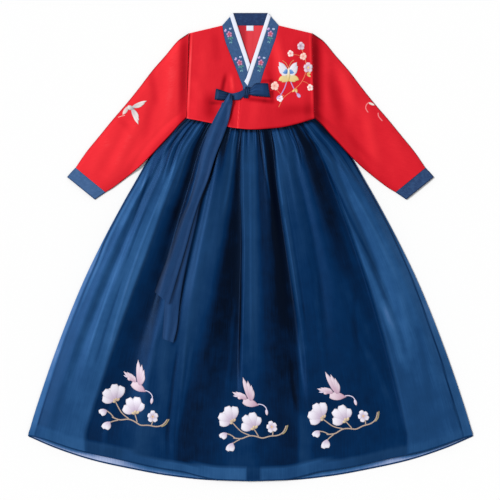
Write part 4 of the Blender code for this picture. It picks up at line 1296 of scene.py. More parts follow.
@dataclass
class Tube:
    """Cloth sewn into a flattened tube: its strip in plan, its grid, what it lies on and its room inside.

    The shares across are the same counted from either edge.
    """

    name: str
    strip: Strip
    along: Array
    across: Array
    floor: Height
    swell: Spread
    tone: Spread | None = None

    LOWER_TONE = 0.55

    def shell(self, wall: float) -> Shell:
        """Rings of points, from the lower wall's first edge round over the upper wall.

        Args:
            wall: Thickness of the cloth.

        Returns:
            The tube's shell.
        """
        first, second = self.strip.edges(self.along)
        plan = self.strip.between(self.along, self.across)
        width = np.linalg.norm(second - first, axis=-1)[:, None]
        run, spread = np.meshgrid(self.along, self.across, indexing="ij")
        base = self.floor(plan[..., 0], plan[..., 1])
        room = 2 * CLOTH + self.swell(spread, run, plan)
        reach = np.minimum(spread, 1 - spread) * width / (2.2 * EDGE_ROUND)
        round_off = room / 2 * np.sqrt(1 - np.clip(1 - reach, 0, 1) ** 2)
        lower = lifted(plan, base + room / 2 - round_off)
        upper = lifted(plan, base + room / 2 + round_off)
        rings = np.concatenate([lower, upper[:, -2:0:-1]], axis=1)
        turned = -np.concatenate([spread, 1 + spread[:, 1:]], axis=1) * width
        flat = np.stack([turned, lengths((first + second) / 2)[:, None] + 0 * turned], -1)
        tone: Array | float = 0.5
        if self.tone:
            shades = self.tone(spread, run, plan)
            # the lower wall takes the upper wall's painted light and shade, weaker
            lower_tone = self.LOWER_TONE + 0.7 * (shades - shades.mean())
            tone = np.concatenate([lower_tone, shades[:, -2:0:-1]], axis=1)
        return Shell(self.name, rings, flat, wall, ring=True, tone=tone)


# --- embroidery


class Shape(Enum):
    """The raised stitched shapes that every motif is put together from."""

    PETAL = "petal"
    LEAF = "leaf"
    STITCH = "stitch"


# colours of floss from root to tip
Dye = tuple[str, str]


@dataclass(frozen=True)
class Floss:
    """Silk floss in satin stitch, whose stitches catch the light; the sizes are in millimetres."""

    name: str = "embroidery_silk_floss"
    stitch: float = 1.5  # drawn coarser than the real half millimetre
    stitch_length: float = 5
    depth: float = 0.2
    roughness: float = 0.5
    shade: Pair = (0.80, 1.0)

    def make(self) -> Material:
        """Builds the material.

        Returns:
            A material that reads each stitch's colour from the attribute "floss".
        """
        material, tree = new_material(self.name)
        flat = add_node(tree, "UVMap", {"uv_map": "flat"}).outputs[0]
        size = 1 / (self.stitch * MM)
        scale = (size / self.stitch_length, size, 1)
        drawn = add_node(tree, "Mapping", {"Scale": scale}, {0: flat}).outputs[0]
        stitches = add_bands(tree, drawn, "Y", Distortion=1.2, Detail=1)
        low, high = self.shade
        bright = add_sum(tree, "MULTIPLY_ADD", stitches, high - low, low)
        dyed = add_node(tree, "Attribute", {"attribute_name": "floss"}).outputs["Color"]
        colour = add_node(tree, "VectorMath", {"operation": "SCALE"}, {0: dyed, "Scale": bright}).outputs[0]
        reflection = {"Roughness": self.roughness, "Specular IOR Level": 0.35, "Sheen Weight": 0.15}
        links = {"Base Color": colour, "Normal": add_relief(tree, stitches, self.depth)}
        shader = add_node(tree, "BsdfPrincipled", reflection, links)
        add_node(tree, "OutputMaterial", links={0: shader.outputs[0]})
        return material


@dataclass(frozen=True)
class Patch:
    """One stitched area: its shape, root, direction in degrees, size in mm, and colours from root to tip."""

    shape: Shape
    root: Pair
    turn: float
    length: float
    width: float
    colours: Dye
    lift: float = 0.0


def fan(root: Pair, turn: float, spread: float, count: int, size: Pair, colours: Dye,
        shape: Shape = Shape.PETAL, lift: float = 0.2) -> list[Patch]:
    """Stitches petals or feathers that spread from one root.

    Args:
        root: Where they start.
        turn: Direction of the middle one, in degrees.
        spread: Degrees from the first one to the last.
        count: How many there are.
        size: Length and width of one.
        colours: Colours from root to tip.
        shape: The shape of one.
        lift: How far they stand above the cloth.

    Returns:
        The patches, every other one a little shorter and on top.
    """
    turns = turn + spread * (np.arange(count) / max(count - 1, 1) - 0.5)
    patches = []
    for i, at in enumerate(turns):
        length = size[0] * (1 - 0.12 * (i % 2))
        patches.append(Patch(shape, root, float(at), length, size[1], colours, lift + 0.25 * (i % 2)))
    return patches


def flower(root: Pair, turn: float, size: Pair, colours: Dye, *more: Shape | float) -> list[Patch]:
    """A round flower of five petals; what more follows is as in a fan."""
    return fan(root, turn, 288, 5, size, colours, *more)


def petals(root: Pair, each: Sequence[Triple], colours: Dye) -> list[Patch]:
    """Petals from one root, each with its own direction, length and width, the later ones on top."""
    return [Patch(Shape.PETAL, root, *petal, colours, 0.25 * i) for i, petal in enumerate(each)]


def stem(points: Sequence[Pair], width: float, colour: str, lift: float = 0.0) -> list[Patch]:
    """Stitches short overlapping stitches along a smooth line.

    Args:
        points: Where the line goes.
        width: Width of a stitch.
        colour: Colour of the floss.
        lift: How far the stitches stand above the cloth.

    Returns:
        The patches.
    """
    line = np.array(points, float)
    for _ in range(2):
        nearer, farther = 0.75 * line[:-1] + 0.25 * line[1:], 0.25 * line[:-1] + 0.75 * line[1:]
        line = np.concatenate([line[:1], np.stack([nearer, farther], 1).reshape(-1, 2), line[-1:]])
    reach = lengths(line)
    patches = []
    for start in np.arange(0, reach[-1], 1.4 * width):
        ends = (start, start + 2.4 * width)
        root, tip = (np.array([np.interp(at, reach, line[:, k]) for k in (0, 1)]) for at in ends)
        turn = math.degrees(math.atan2(*(tip - root)[::-1]))
        root = tuple(root.tolist())
        patches.append(Patch(Shape.STITCH, root, turn, 2.6 * width, width, (colour, colour), lift))
    return patches


def wing(root: Pair, turn: float, spread: float, count: int, size: Pair, colours: Dye,
         lift: float) -> list[Patch]:
    """Stitches feathers that get shorter away from the wing's leading edge.

    Args:
        root: Where they start.
        turn: Direction of the leading edge, in degrees.
        spread: Degrees to the last one; it may be negative.
        count: How many there are.
        size: Length and width of the first one.
        colours: Colours from root to tip.
        lift: How far they stand above the cloth.

    Returns:
        The patches, the leading edge on top.
    """
    return [
        Patch(Shape.LEAF, root, turn + spread * i / count, size[0] * (1 - 0.17 * i), size[1], colours,
              lift + 0.15 * (count - i))
        for i in reversed(range(count))
    ]


def bird(body: Dye, feathers: Dye, tail: str, wings: Pair) -> list[Patch]:
    """Stitches a small bird on the wing, about 80 mm across, that flies to the upper left.

    Args:
        body: Colours of its body and head.
        feathers: Colours of its wings.
        tail: Colour of its tail and beak.
        wings: Directions of its wings, in degrees.

    Returns:
        The patches.
    """
    return (
        wing((0, 8), wings[1], -34, 4, (42, 9), feathers, 0.1)
        + stem([(18, -8), (32, -11), (42, -22), (40, -36)], 2.4, tail)
        + [Patch(Shape.LEAF, (41, -26), -100, 17, 7, (tail, body[1]), 0.3)]
        + [Patch(Shape.PETAL, (26, -13), 150, 45, 21, body, 0.3)]
        + [Patch(Shape.PETAL, (-10, 14), 140, 13, 10, body, 0.6)]
        + [Patch(Shape.LEAF, (-18, 21), 152, 14, 3.4, (tail, tail))]
        + wing((8, 0), wings[0] - 2, -38, 4, (66, 12), feathers, 0.5)
    )


WHITE_PETAL = ("#BDABC2", "#E4E0EB")
PINK_FLOSS = ("#BA96AC", "#DBC7D3")
PEACH_FLOSS = ("#E9A79A", "#F6CDC2")
BRANCH = "#AF9A8A"
ORANGE_TWIG = "#E4714C"

# a blossoming branch with a small bird over it
SKIRT_SPRIG = (
    stem([(82, -61), (72, -76), (54, -81), (34, -75), (16, -78), (4, -68), (-14, -60), (-34, -65),
          (-50, -58)], 3.6, BRANCH)
    + stem([(66, -80), (77, -76), (83, -66)], 3.0, "#9C8F66")
    + stem([(-48, -60), (-58, -46), (-68, -41)], 3.0, BRANCH)
    + stem([(-38, -64), (-50, -66), (-60, -70)], 3.0, BRANCH)
    + stem([(-12, -61), (-30, -48), (-38, -34), (-46, -18)], 3.0, BRANCH)
    + stem([(8, -70), (5, -58), (1, -46)], 3.0, BRANCH)
    + stem([(42, -77), (46, -66)], 3.0, BRANCH)
    + petals((-45, -16), ((118, 36, 24), (172, 35, 23), (64, 41, 24), (140, 40, 25), (94, 43, 24)),
             WHITE_PETAL)
    + fan((-43, -18), 118, 150, 4, (11, 6), (BRANCH, "#CDB592"), Shape.LEAF, 0.9)
    + petals((4, -46), ((100, 30, 24), (54, 32, 23), (158, 36, 25), (84, 42, 25), (118, 43, 24)), WHITE_PETAL)
    + fan((4, -49), 100, 120, 3, (12, 7), (BRANCH, "#D8C49A"), Shape.LEAF, 0.9)
    + flower((46, -55), 90, (16, 13), WHITE_PETAL)
    + flower((46, -55), 90, (5, 3), ("#D8B48A", "#E8C9A8"), Shape.LEAF, 0.6)
    + fan((-65, -40), 203, 26, 2, (23, 13), WHITE_PETAL)
    + fan((-58, -67), 232, 26, 2, (27, 15), WHITE_PETAL)
    + [replace(patch, root=(patch.root[0] + 4, patch.root[1] + 18))
       for patch in bird(PINK_FLOSS, ("#BE9DB2", "#D9C8D5"), "#D9D0E8", (94, 136))]
)
# a flowering twig with a swallowtail butterfly beside it
BREAST_SPRAY = (
    stem([(-36, -84), (-24, -58), (0, -42), (22, -22), (34, 6), (32, 36), (22, 62)], 2.0, ORANGE_TWIG)
    + stem([(-22, -56), (-34, -48), (-44, -34)], 1.6, ORANGE_TWIG)
    + stem([(24, -18), (36, -22), (42, -30)], 1.6, ORANGE_TWIG)
    + stem([(32, 38), (18, 46), (-2, 50)], 1.6, ORANGE_TWIG)
    + flower((-45, -30), 80, (12, 11), PEACH_FLOSS)
    + flower((-32, -62), 60, (9, 8), ("#E8C8D4", "#F8EEF4"))
    + flower((43, -34), 100, (9, 8), ("#EFA8A8", "#FBE9E4"))
    + flower((38, 16), 90, (14, 12), PINK_FLOSS)
    + flower((38, 16), 90, (5, 3), ("#E9C46A", "#F3DFA6"), Shape.LEAF, 0.6)
    + flower((26, 44), 70, (10, 9), PEACH_FLOSS)
    + flower((-6, 51), 100, (9, 8), ("#EFA8A8", "#FBE9E4"))
    + flower((20, 70), 90, (11, 10), PINK_FLOSS)
    + fan((8, -36), 250, 50, 2, (14, 6), ("#C8974F", "#E9C27A"), Shape.LEAF)
    + fan((34, 0), -10, 50, 2, (13, 6), ("#C8974F", "#E9C27A"), Shape.LEAF)
    + stem([(-14, -12), (-20, -36), (-34, -58)], 3.0, "#B993CC", 0.2)
    + stem([(-8, -12), (0, -34), (12, -52)], 3.0, "#B993CC", 0.2)
    + [Patch(Shape.PETAL, (-31, -52), 236, 16, 9, ("#A985BE", "#CDB2DC"), 0.4),
       Patch(Shape.PETAL, (9, -47), 306, 16, 9, ("#A985BE", "#CDB2DC"), 0.4)]
    + wing((-12, -4), 208, 60, 3, (28, 14), ("#D8C694", "#E2C47E"), 0.2)
    + wing((-10, -4), 336, -60, 3, (28, 14), ("#D8C694", "#E2C47E"), 0.2)
    + wing((-12, 0), 128, 62, 4, (38, 15), ("#E3DFE6", "#DAD6E0"), 0.4)
    + wing((-10, 0), 56, -62, 4, (36, 15), ("#E3DFE6", "#DAD6E0"), 0.4)
    + fan((-12, 1), 146, 44, 3, (17, 8), ("#3F6FB4", "#6C98D2"), Shape.LEAF, 1.1)
    + fan((-10, 1), 36, 44, 3, (16, 8), ("#3F6FB4", "#6C98D2"), Shape.LEAF, 1.1)
    + [Patch(Shape.LEAF, (-11, -20), 89, 38, 8, ("#D8B66A", "#E8DFC8"), 1.4)]
    + stem([(-12, 16), (-17, 27), (-24, 32)], 1.2, "#C9A86A", 0.2)
    + stem([(-10, 16), (-6, 28), (0, 33)], 1.2, "#C9A86A", 0.2)
)
FEATHER = ("#B9B2B4", "#E8DFDB")
# a crane on the wing
SLEEVE_BIRD = (
    [Patch(Shape.LEAF, (-6, 6), 236, 30, 11, ("#C4AEAC", "#DCC6C2"), 0.1)]
    + stem([(-16, -20), (-24, -21), (-33, -24)], 1.4, "#F0C4BC")
    + wing((0, 0), -66, 24, 3, (49, 10), FEATHER, 0.2)
    + wing((0, 2), 22, -22, 3, (46, 9), FEATHER, 0.4)
    + [Patch(Shape.PETAL, (9, -4), 158, 22, 13, ("#A09DA4", "#CFCBC8"), 0.7)]
)
# the tail of the same crane, whose body is on the sleeve's far side
SLEEVE_TAIL = (
    [Patch(Shape.LEAF, (-10, 0), -22, 19, 6, ("#D8CDC4", "#EDE3DA"), 0.1)]
    + stem([(-6, 1), (-13, -4), (-16, -11), (-15, -18), (-11, -23)], 3.0, "#EE7C80", 0.3)
    + stem([(16, -25), (15, -32), (19, -39), (24, -44)], 3.2, "#EE7C80", 0.3)
)
COLLAR_FLOWER = (
    flower((0, 0), 90, (8.5, 6), ("#A3304A", "#C48DB8"))
    + flower((0, 0), 60, (4, 3), ("#D0566E", "#B03048"), Shape.LEAF, 0.6)
    + fan((1, -7), 270, 110, 3, (9, 4.5), ("#2B6068", "#4C8C8E"), Shape.LEAF, 0.1)
    + stem([(1, -7), (3, -14), (2, -22)], 1.6, "#42858A")
    + fan((1, -18), 250, 60, 2, (7, 3.5), ("#3A7480", "#6F9FB6"), Shape.LEAF, 0.1)
    + fan((-5, 8), 125, 40, 2, (8, 4.5), ("#8C6FB4", "#C7B2E0"), Shape.LEAF, 0.1)
    + fan((4, 10), 70, 40, 2, (7, 4), ("#7C8FC0", "#B9CBE6"), Shape.LEAF, 0.1)
)


@dataclass
class Embroidery:
    """Models the stitched shapes once, then lays copies of them on the cloth as motifs."""

    finish: Material
    rise: float = 0.7 * MM
    clearance: float = 0.12 * MM
    full_width: float = 8
    rim_shade: float = 0.28
    shapes: dict[Shape, tuple[Array, list]] = field(default_factory=dict)

    CUTS = {
        Shape.PETAL: ((0.12, 0.93), (-0.05, 0.87), (-0.2, 0.8), (-0.32, 0.72), (-0.42, 0.66)),
        Shape.LEAF: ((-0.2, 0.85), (-0.34, 0.7), (-0.42, 0.6)),
        Shape.STITCH: (),
    }
    SINK = 0.02

    def model(self, shape: Shape) -> tuple[Array, list]:
        """Models one shape by hand: a round pad, flat below, pulled in where the shape is narrow.

        Args:
            shape: Which one.

        Returns:
            Its points, 1 long from the root at the origin and 1 wide and high, and its faces.
        """
        bpy.ops.object.select_all(action="DESELECT")
        segments, rings = (8, 6) if shape is Shape.STITCH else (18, 8)
        bpy.ops.mesh.primitive_uv_sphere_add(segments=segments, ring_count=rings, radius=0.5)
        pad = bpy.context.object
        bpy.ops.object.mode_set(mode="EDIT")
        bpy.ops.mesh.select_all(action="SELECT")
        bpy.ops.mesh.bisect(plane_co=(0, 0, -self.SINK), plane_no=(0, 0, 1), use_fill=True, clear_inner=True)
        for reach, factor in self.CUTS[shape]:
            for side in (1, -1) if shape is Shape.LEAF else (1,):
                self.pick(pad, lambda point, side=side, reach=reach: point.x * side < reach)
                bpy.ops.transform.resize(value=(1, factor, 1), center_override=(0, 0, 0))
        if shape is Shape.PETAL:
            self.pick(pad, lambda point: point.x > 0.4 and abs(point.y) < 0.12)
            bpy.ops.transform.translate(value=(-0.07, 0, 0))
        bpy.ops.object.mode_set(mode="OBJECT")
        points = np.array([point.co for point in pad.data.vertices]) * (1, 1, 2) + (0.5, 0, 2 * self.SINK)
        faces = [list(face.vertices) for face in pad.data.polygons]
        bpy.data.objects.remove(pad, do_unlink=True)
        return points, faces

    @staticmethod
    def pick(pad: Object, wanted: Callable[[Vector], bool]) -> None:
        """Selects some of the pad's points, in edit mode.

        Args:
            pad: The pad.
            wanted: Whether a point is to be selected.
        """
        bpy.ops.mesh.select_all(action="DESELECT")
        bpy.ops.object.mode_set(mode="OBJECT")
        for point in pad.data.vertices:
            point.select = wanted(point.co)
        bpy.ops.object.mode_set(mode="EDIT")

    def lay(self, name: str, patches: Sequence[Patch], cloth: Object, at: Pair, turn: float = 0.0,
            scale: float = 1.0) -> Object:
        """Lays one motif on a cloth.

        Args:
            name: The new piece's name.
            patches: What the motif is made of.
            cloth: The piece that it is stitched to.
            at: Where its middle lies, in millimetres.
            turn: How far it is turned, in degrees.
            scale: How large it is.

        Returns:
            The motif.
        """
        tree = BVHTree.FromObject(cloth, bpy.context.evaluated_depsgraph_get())
        spin = self.spin(turn)
        points, faces, colours, flats, count = [], [], [], [], 0
        for patch in patches:
            if patch.shape not in self.shapes:
                self.shapes[patch.shape] = self.model(patch.shape)
            base, polygons = self.shapes[patch.shape]
            stitched = base[:, :2] * (patch.length, patch.width)
            plan = ((stitched @ self.spin(patch.turn).T + patch.root) * scale @ spin.T + at) * MM
            rise = base[:, 2] * (self.rise * min(1, patch.width / self.full_width) + patch.lift * MM)
            ground = np.array([self.ground(tree, *spot) for spot in plan])
            points.append(lifted(plan, ground + self.clearance + rise))
            root_colour, tip_colour = (np.array(linear(colour)) for colour in patch.colours)
            dye = mix(root_colour, tip_colour, smooth(0.1, 0.8, base[:, :1]))
            rim = smooth(0.40, 0.50, np.hypot(base[:, :1] - 0.5, base[:, 1:2]))
            colours.append(dye * (1 - self.rim_shade * rim * (1, 1, 1, 0)))
            flats.append(stitched * scale * MM)
            faces += [[count + corner for corner in face] for face in polygons]
            count += len(base)
        mesh = bpy.data.meshes.new(name)
        mesh.from_pydata(np.concatenate(points).tolist(), [], faces)
        dyed = mesh.attributes.new("floss", "FLOAT_COLOR", "POINT")
        dyed.data.foreach_set("color", np.concatenate(colours).astype(np.float32).ravel())
        corner = np.empty(len(mesh.loops), np.int32)
        mesh.loops.foreach_get("vertex_index", corner)
        layer = mesh.uv_layers.new(name="flat")
        layer.data.foreach_set("uv", np.concatenate(flats)[corner].astype(np.float32).ravel())
        mesh.materials.append(self.finish)
        mesh.shade_smooth()
        return place(add_object(name, mesh), Slot.WHITE)

    @staticmethod
    def spin(turn: float) -> Array:
        """Matrix that turns points in plan by an angle in degrees."""
        cosine, sine = math.cos(math.radians(turn)), math.sin(math.radians(turn))
        return np.array([[cosine, -sine], [sine, cosine]])

    @staticmethod
    def ground(tree: BVHTree, x: float, y: float) -> float:
        """Height of the cloth at a place."""
        hit = tree.ray_cast(Vector((x, y, 0.2)), Vector((0, 0, -1)))[0]
        return hit.z if hit else 0.0


@dataclass(frozen=True)
class Stock:
    """Every finish made up as a material, and the embroidery."""

    organza: Material
    lining: Material
    red: Material
    rose: Material
    navy: Material
    white: Material
    ribbon: Material
    stitched: Embroidery


@dataclass
class Part:
    """A part of the garment, made of what is in the stock."""

    stock: Stock


# --- the skirt


@dataclass
class Skirt(Part):
    """The full organza skirt gathered to a waistband, with its dark lining."""

    organza_wall: float = 0.5 * MM
    back_wall: float = 0.9 * MM
    lining_wall: float = 0.5 * MM
    hem_wall: float = 0.4 * MM
    band_wall: float = 0.8 * MM
    front_grid: Grid = (128, 340)
    back_grid: Grid = (80, 150)
    lining_grid: Grid = (60, 60)
    hem_grid: Grid = (180, 8)
    hem_inset: float = 1.5 * MM
    hem_above: float = 1.2 * MM
    hem_size: Pair = (2.1 * MM, 0.75 * MM)
    band_y: Pair = (345.3, 385)
    band_swell: float = 3.3 * MM
    sprigs: tuple = (
        ("right", (-290, -366), 0, 1.02), ("middle", (-6, -407), 15.5, 1.0), ("left", (214, -391), 26, 1.02),
    )

    FOLDED = 1.5

    def plan(self, grid: Grid, hem: Callable[[Array], Array], inset: Height | None = None,
             along_folds: bool = False) -> Array:
        """Points in plan of a panel.

        Args:
            grid: How many rows and columns it has.
            hem: Height in plan of its hem.
            inset: How far its side edges are inside the organza's.
            along_folds: Whether the columns follow the fold lines.

        Returns:
            Rows of points from the waist seam to the hem.
        """
        falls = mix(by_row(grid[0]), by_row(grid[0]) ** 1.6, 0.6)
        shares = by_column(grid[1], -1)
        y = mix(SEAM_Y, hem(shares * HEM_CORNER), falls)
        for _ in range(2 * along_folds):
            shares = self.fold_shares(grid[1], y)
            y = mix(SEAM_Y, hem(shares * HEM_CORNER), falls)
        half = SKIRT_HALF.at(y) - (inset(shares + 0 * y, y) if inset else 0)
        return np.stack([shares * half, y], -1)

    def fold_shares(self, count: int, y: Array) -> Array:
        """Shares across at each point of a grid whose columns follow the fold lines.

        Args:
            count: How many columns there are.
            y: Heights in plan of the grid's points.

        Returns:
            The shares, closer together beside the lines where the cloth is folded over.
        """
        rest = np.array([line.shares[2] for line in FOLD_LINES])
        even = np.linspace(-1, 1, 4001)
        folded = [line.shares[2] for line in FOLD_LINES if line.right_height - line.left_height > self.FOLDED]
        density = 1 + sum(3.0 * bump((even - at) / 0.035) for at in folded)
        run = np.concatenate([[0], np.cumsum(density[1:] + density[:-1])])
        columns = np.interp(np.linspace(0, run[-1], count + 1), run, even)
        index = np.clip(np.searchsorted(rest, columns, side="right") - 1, 0, len(rest) - 2)
        across = (columns - rest[index]) / (rest[index + 1] - rest[index])
        places = np.stack([line.place(y) for line in FOLD_LINES])
        column = np.arange(count + 1)
        return mix(places[index, :, column].T, places[index + 1, :, column].T, across)

    def panel(self, name: str, plan: Array, height: Array, wall: float) -> Shell:
        """Shell of a panel, whose threads fan out from the gathers on the flat cloth."""
        shares = plan[..., 0] / SKIRT_HALF.at(plan[..., 1])
        return Shell(name, lifted(plan, height), np.stack([shares * HEM_CORNER, plan[..., 1]], -1), wall)

    def front(self) -> Object:
        """Makes the front of organza, with its gathers, folds and creases.

        Returns:
            The front.
        """
        plan = self.plan(self.front_grid, front_hem, along_folds=True)
        x, y = plan[..., 0], plan[..., 1]
        height = skirt_top(x, y) - rolled(plan, 0.6, 2, "last_row")
        shell = self.panel("skirt_front_organza", plan, height, self.organza_wall)
        shell.tone = FrontTone().at(x, y)
        return place(shell.build(self.stock.organza), Slot.ORGANZA, "skirt_front")

    def back(self) -> Object:
        """Makes the back of organza, which lies on the surface.

        Returns:
            The back, pale inside where it is seen beyond the front's hem.
        """
        plan = self.plan(self.back_grid, back_hem)
        x, y = plan[..., 0], plan[..., 1]
        shell = self.panel("skirt_back_organza", plan, back_low(x, y), self.back_wall)
        shell.faces_down = True
        middle_pale, side_pale, middle_dimming, hidden, outside = 1.25, 1.40, 0.28, 0.62, 0.66
        pale = mix(middle_pale, side_pale, ramp(290, 430, np.abs(x))) - middle_dimming * bump(x / (230 * MM))
        shell.inner_tone = mix(hidden, pale, ramp(2, -4, y - front_hem(x)))
        share = x / SKIRT_HALF.at(y)
        # the outer face takes the gathers' painted light and shade and the ripples' painted shade
        shell.tone = outside + gathers(-share, y)[1] + shade(BACK_RIPPLES, share, y)
        return place(shell.build(self.stock.organza), Slot.ORGANZA, "skirt_back")

    def linings(self) -> list[Object]:
        """Makes both linings, which end above the organza's hem.

        Returns:
            The back's lining and the front's.
        """
        plan = self.plan(self.lining_grid, lambda x: front_hem(x) + LINING_ABOVE_HEM, lining_inset)
        low = back_low(plan[..., 0], plan[..., 1]) + CLOTH
        pieces = []
        for side, layers in (("back", 1), ("front", 2)):
            shell = self.panel(f"skirt_lining_{side}_cloth", plan, low + layers * LAYER, self.lining_wall)
            pieces.append(place(shell.build(self.stock.lining), Slot.LINING, f"skirt_lining_{side}"))
        return pieces

    def hem(self, side: str, line: Callable[[Array], Array], low: Height) -> Object:
        """The narrow rolled hem of one organza panel.

        Args:
            side: Which panel it finishes.
            line: Height in plan of the hem.
            low: Height of the cloth that it rolls under.

        Returns:
            A flat tube along the hem.
        """
        along, around = self.hem_grid
        turns = 2 * np.pi * np.arange(around) / around
        x = by_row(along, -1) * (HEM_CORNER - self.hem_inset) + 0 * turns
        y = line(x) + self.hem_above
        ring = np.stack([
            x, y + self.hem_size[0] * np.cos(turns), low(x, y) + self.hem_size[1] * np.sin(turns),
        ], -1)
        flat = np.stack(np.broadcast_arrays(x[:, :1], y[:, :1] + np.arange(around + 1) * 0.8 * MM), -1)
        shell = Shell(f"skirt_{side}_rolled_hem", ring, flat, self.hem_wall, ring=True, tone=0.46)
        return place(shell.build(self.stock.organza), Slot.ORGANZA)

    def waistband(self) -> Object:
        """Makes the plain band that the gathers are sewn to.

        Returns:
            The band.
        """
        half = SKIRT_HALF.at(SEAM_Y) / MM
        strip = Strip(tuple((-half, y, half, y) for y in self.band_y))
        tube = Tube("skirt_waistband_cloth", strip, np.linspace(0, 1, 13), near_edges(40),
                    lambda x, y: LAYER + 0 * x, self.band_room)
        return place(tube.shell(self.band_wall).build(self.stock.lining), Slot.LINING, "skirt_waistband")

    def band_room(self, share: Array, run: Array, plan: Array) -> Array:
        """Room inside the waistband, by shares across and along it."""
        middle = smooth(0, 0.1, share) * smooth(1, 0.9, share)
        return mix(EDGE_SWELL, mix(self.band_swell, EDGE_SWELL, run), middle)

    def make(self) -> None:
        """Builds the skirt."""
        front, back = self.front(), self.back()
        lining_back, lining_front = self.linings()
        band = self.waistband()
        front_roll = self.hem("front", front_hem, lambda x, y: skirt_top(x, y) - 0.6 * MM)
        back_roll = self.hem("back", back_hem, lambda x, y: back_low(x, y) + 0.8 * MM)
        sprigs = [
            self.stock.stitched.lay(f"skirt_sprig_{name}", SKIRT_SPRIG, front, at, turn, scale)
            for name, at, turn, scale in self.sprigs
        ]


# --- the sleeves


@dataclass
class Sleeve(Part):
    """One sleeve and its cuff, each a flattened tube; side is -1 for the wearer's right."""

    name: str
    side: int
    creases: tuple[Crease, ...]
    bird: list[Patch]
    bird_at: Pair
    bird_scale: float
    most_swell: float = 6 * MM
    most_at_armhole: float = 3.6 * MM
    hollow: float = 1.5 * MM
    cuff_swell: float = 1.6 * MM
    wall: float = 0.7 * MM
    # the sleeve and cuff on the wearer's right are painted lighter, as lit from that side
    side_lit_tones: Pair = (0.72, 0.56)
    cuff_side_lit_tones: Pair = (0.60, 0.34)
    cuff_mm: Pair = (97, 31)

    def floor(self, x: Array, y: Array) -> Array:
        """Underside of the lower wall: on the surface, and over the skirt's edge at the underarm."""
        return OVER_SKIRT * ramp(-30, -1, SKIRT_HALF.at(y) - np.abs(x))

    def swell(self, share: Array, run: Array, plan: Array) -> Array:
        """Room inside the sleeve: the jacket's at the armhole, then a shallow hollow with creases.

        Args:
            share: Shares across.
            run: Shares along.
            plan: Points in plan.

        Returns:
            The room between the walls.
        """
        x, y = plan[..., 0], plan[..., 1]
        at_armhole = np.clip(jacket_low(x, y) - self.floor(x, y) - CLOTH, EDGE_SWELL, self.most_at_armhole)
        hollow = (self.hollow + rise(self.creases, x, y)) * smooth(0, 0.12, share) * smooth(1, 0.72, share)
        own = self.cuff_room(share, run, plan) + hollow
        return np.clip(mix(at_armhole, own, smooth(0, 0.05, run)), 0.3 * MM, self.most_swell)

    def tone(self, share: Array, run: Array, plan: Array) -> Array:
        """Tone of the upper wall, with darker seam lines along both edges and a dimmer strip beside one.

        Args:
            share: Shares across.
            run: Shares along; not used.
            plan: Points in plan.

        Returns:
            The tone.
        """
        shoulder_seam, underarm_seam, strip = 0.60, 0.50, 0.12
        seams = shoulder_seam * smooth(0.022, 0.004, share) + underarm_seam * smooth(0.978, 0.996, share)
        # the cloth is painted lighter on the lit side and takes the creases' painted light and shade
        cloth = by_side(self.side_lit_tones, self.side) + shade(self.creases, plan[..., 0], plan[..., 1])
        return cloth - seams - strip * smooth(0.82, 0.97, share)

    def cuff_room(self, share: Array, run: Array, plan: Array) -> Array:
        """Room inside the cuff, by shares across it."""
        middle = smooth(0, 0.2, share) * smooth(1, 0.8, share)
        return mix(EDGE_SWELL, self.cuff_swell, middle)

    def cuff_tone(self, share: Array, run: Array, plan: Array) -> Array:
        """Tone of the cuff's upper wall, darker along its edges, by shares across and along it."""
        edge = np.minimum(np.minimum(share, 1 - share) * self.cuff_mm[0], (1 - run) * self.cuff_mm[1])
        return by_side(self.cuff_side_lit_tones, self.side) - 0.34 * smooth(3, 0.5, edge)

    def make(self) -> None:
        """Builds the sleeve and its cuff."""
        tube = Tube(f"sleeve_{self.name}_cloth", Strip(SLEEVE, self.side), np.linspace(0, 1, 91),
                    near_edges(64), self.floor, self.swell, self.tone)
        sleeve = tube.shell(self.wall).build(self.stock.red, self.stock.rose)
        place(sleeve, Slot.RED, f"sleeve_{self.name}")
        tube = Tube(f"cuff_{self.name}_cloth", Strip(CUFF, self.side), np.linspace(0, 1, 33), near_edges(48),
                    lambda x, y: 0 * x, self.cuff_room, self.cuff_tone)
        cuff = place(tube.shell(self.wall).build(self.stock.navy), Slot.COLLAR, f"cuff_{self.name}")
        crane = self.stock.stitched.lay(f"sleeve_{self.name}_bird", self.bird, sleeve, self.bird_at,
                                        scale=self.bird_scale)


# --- the jacket


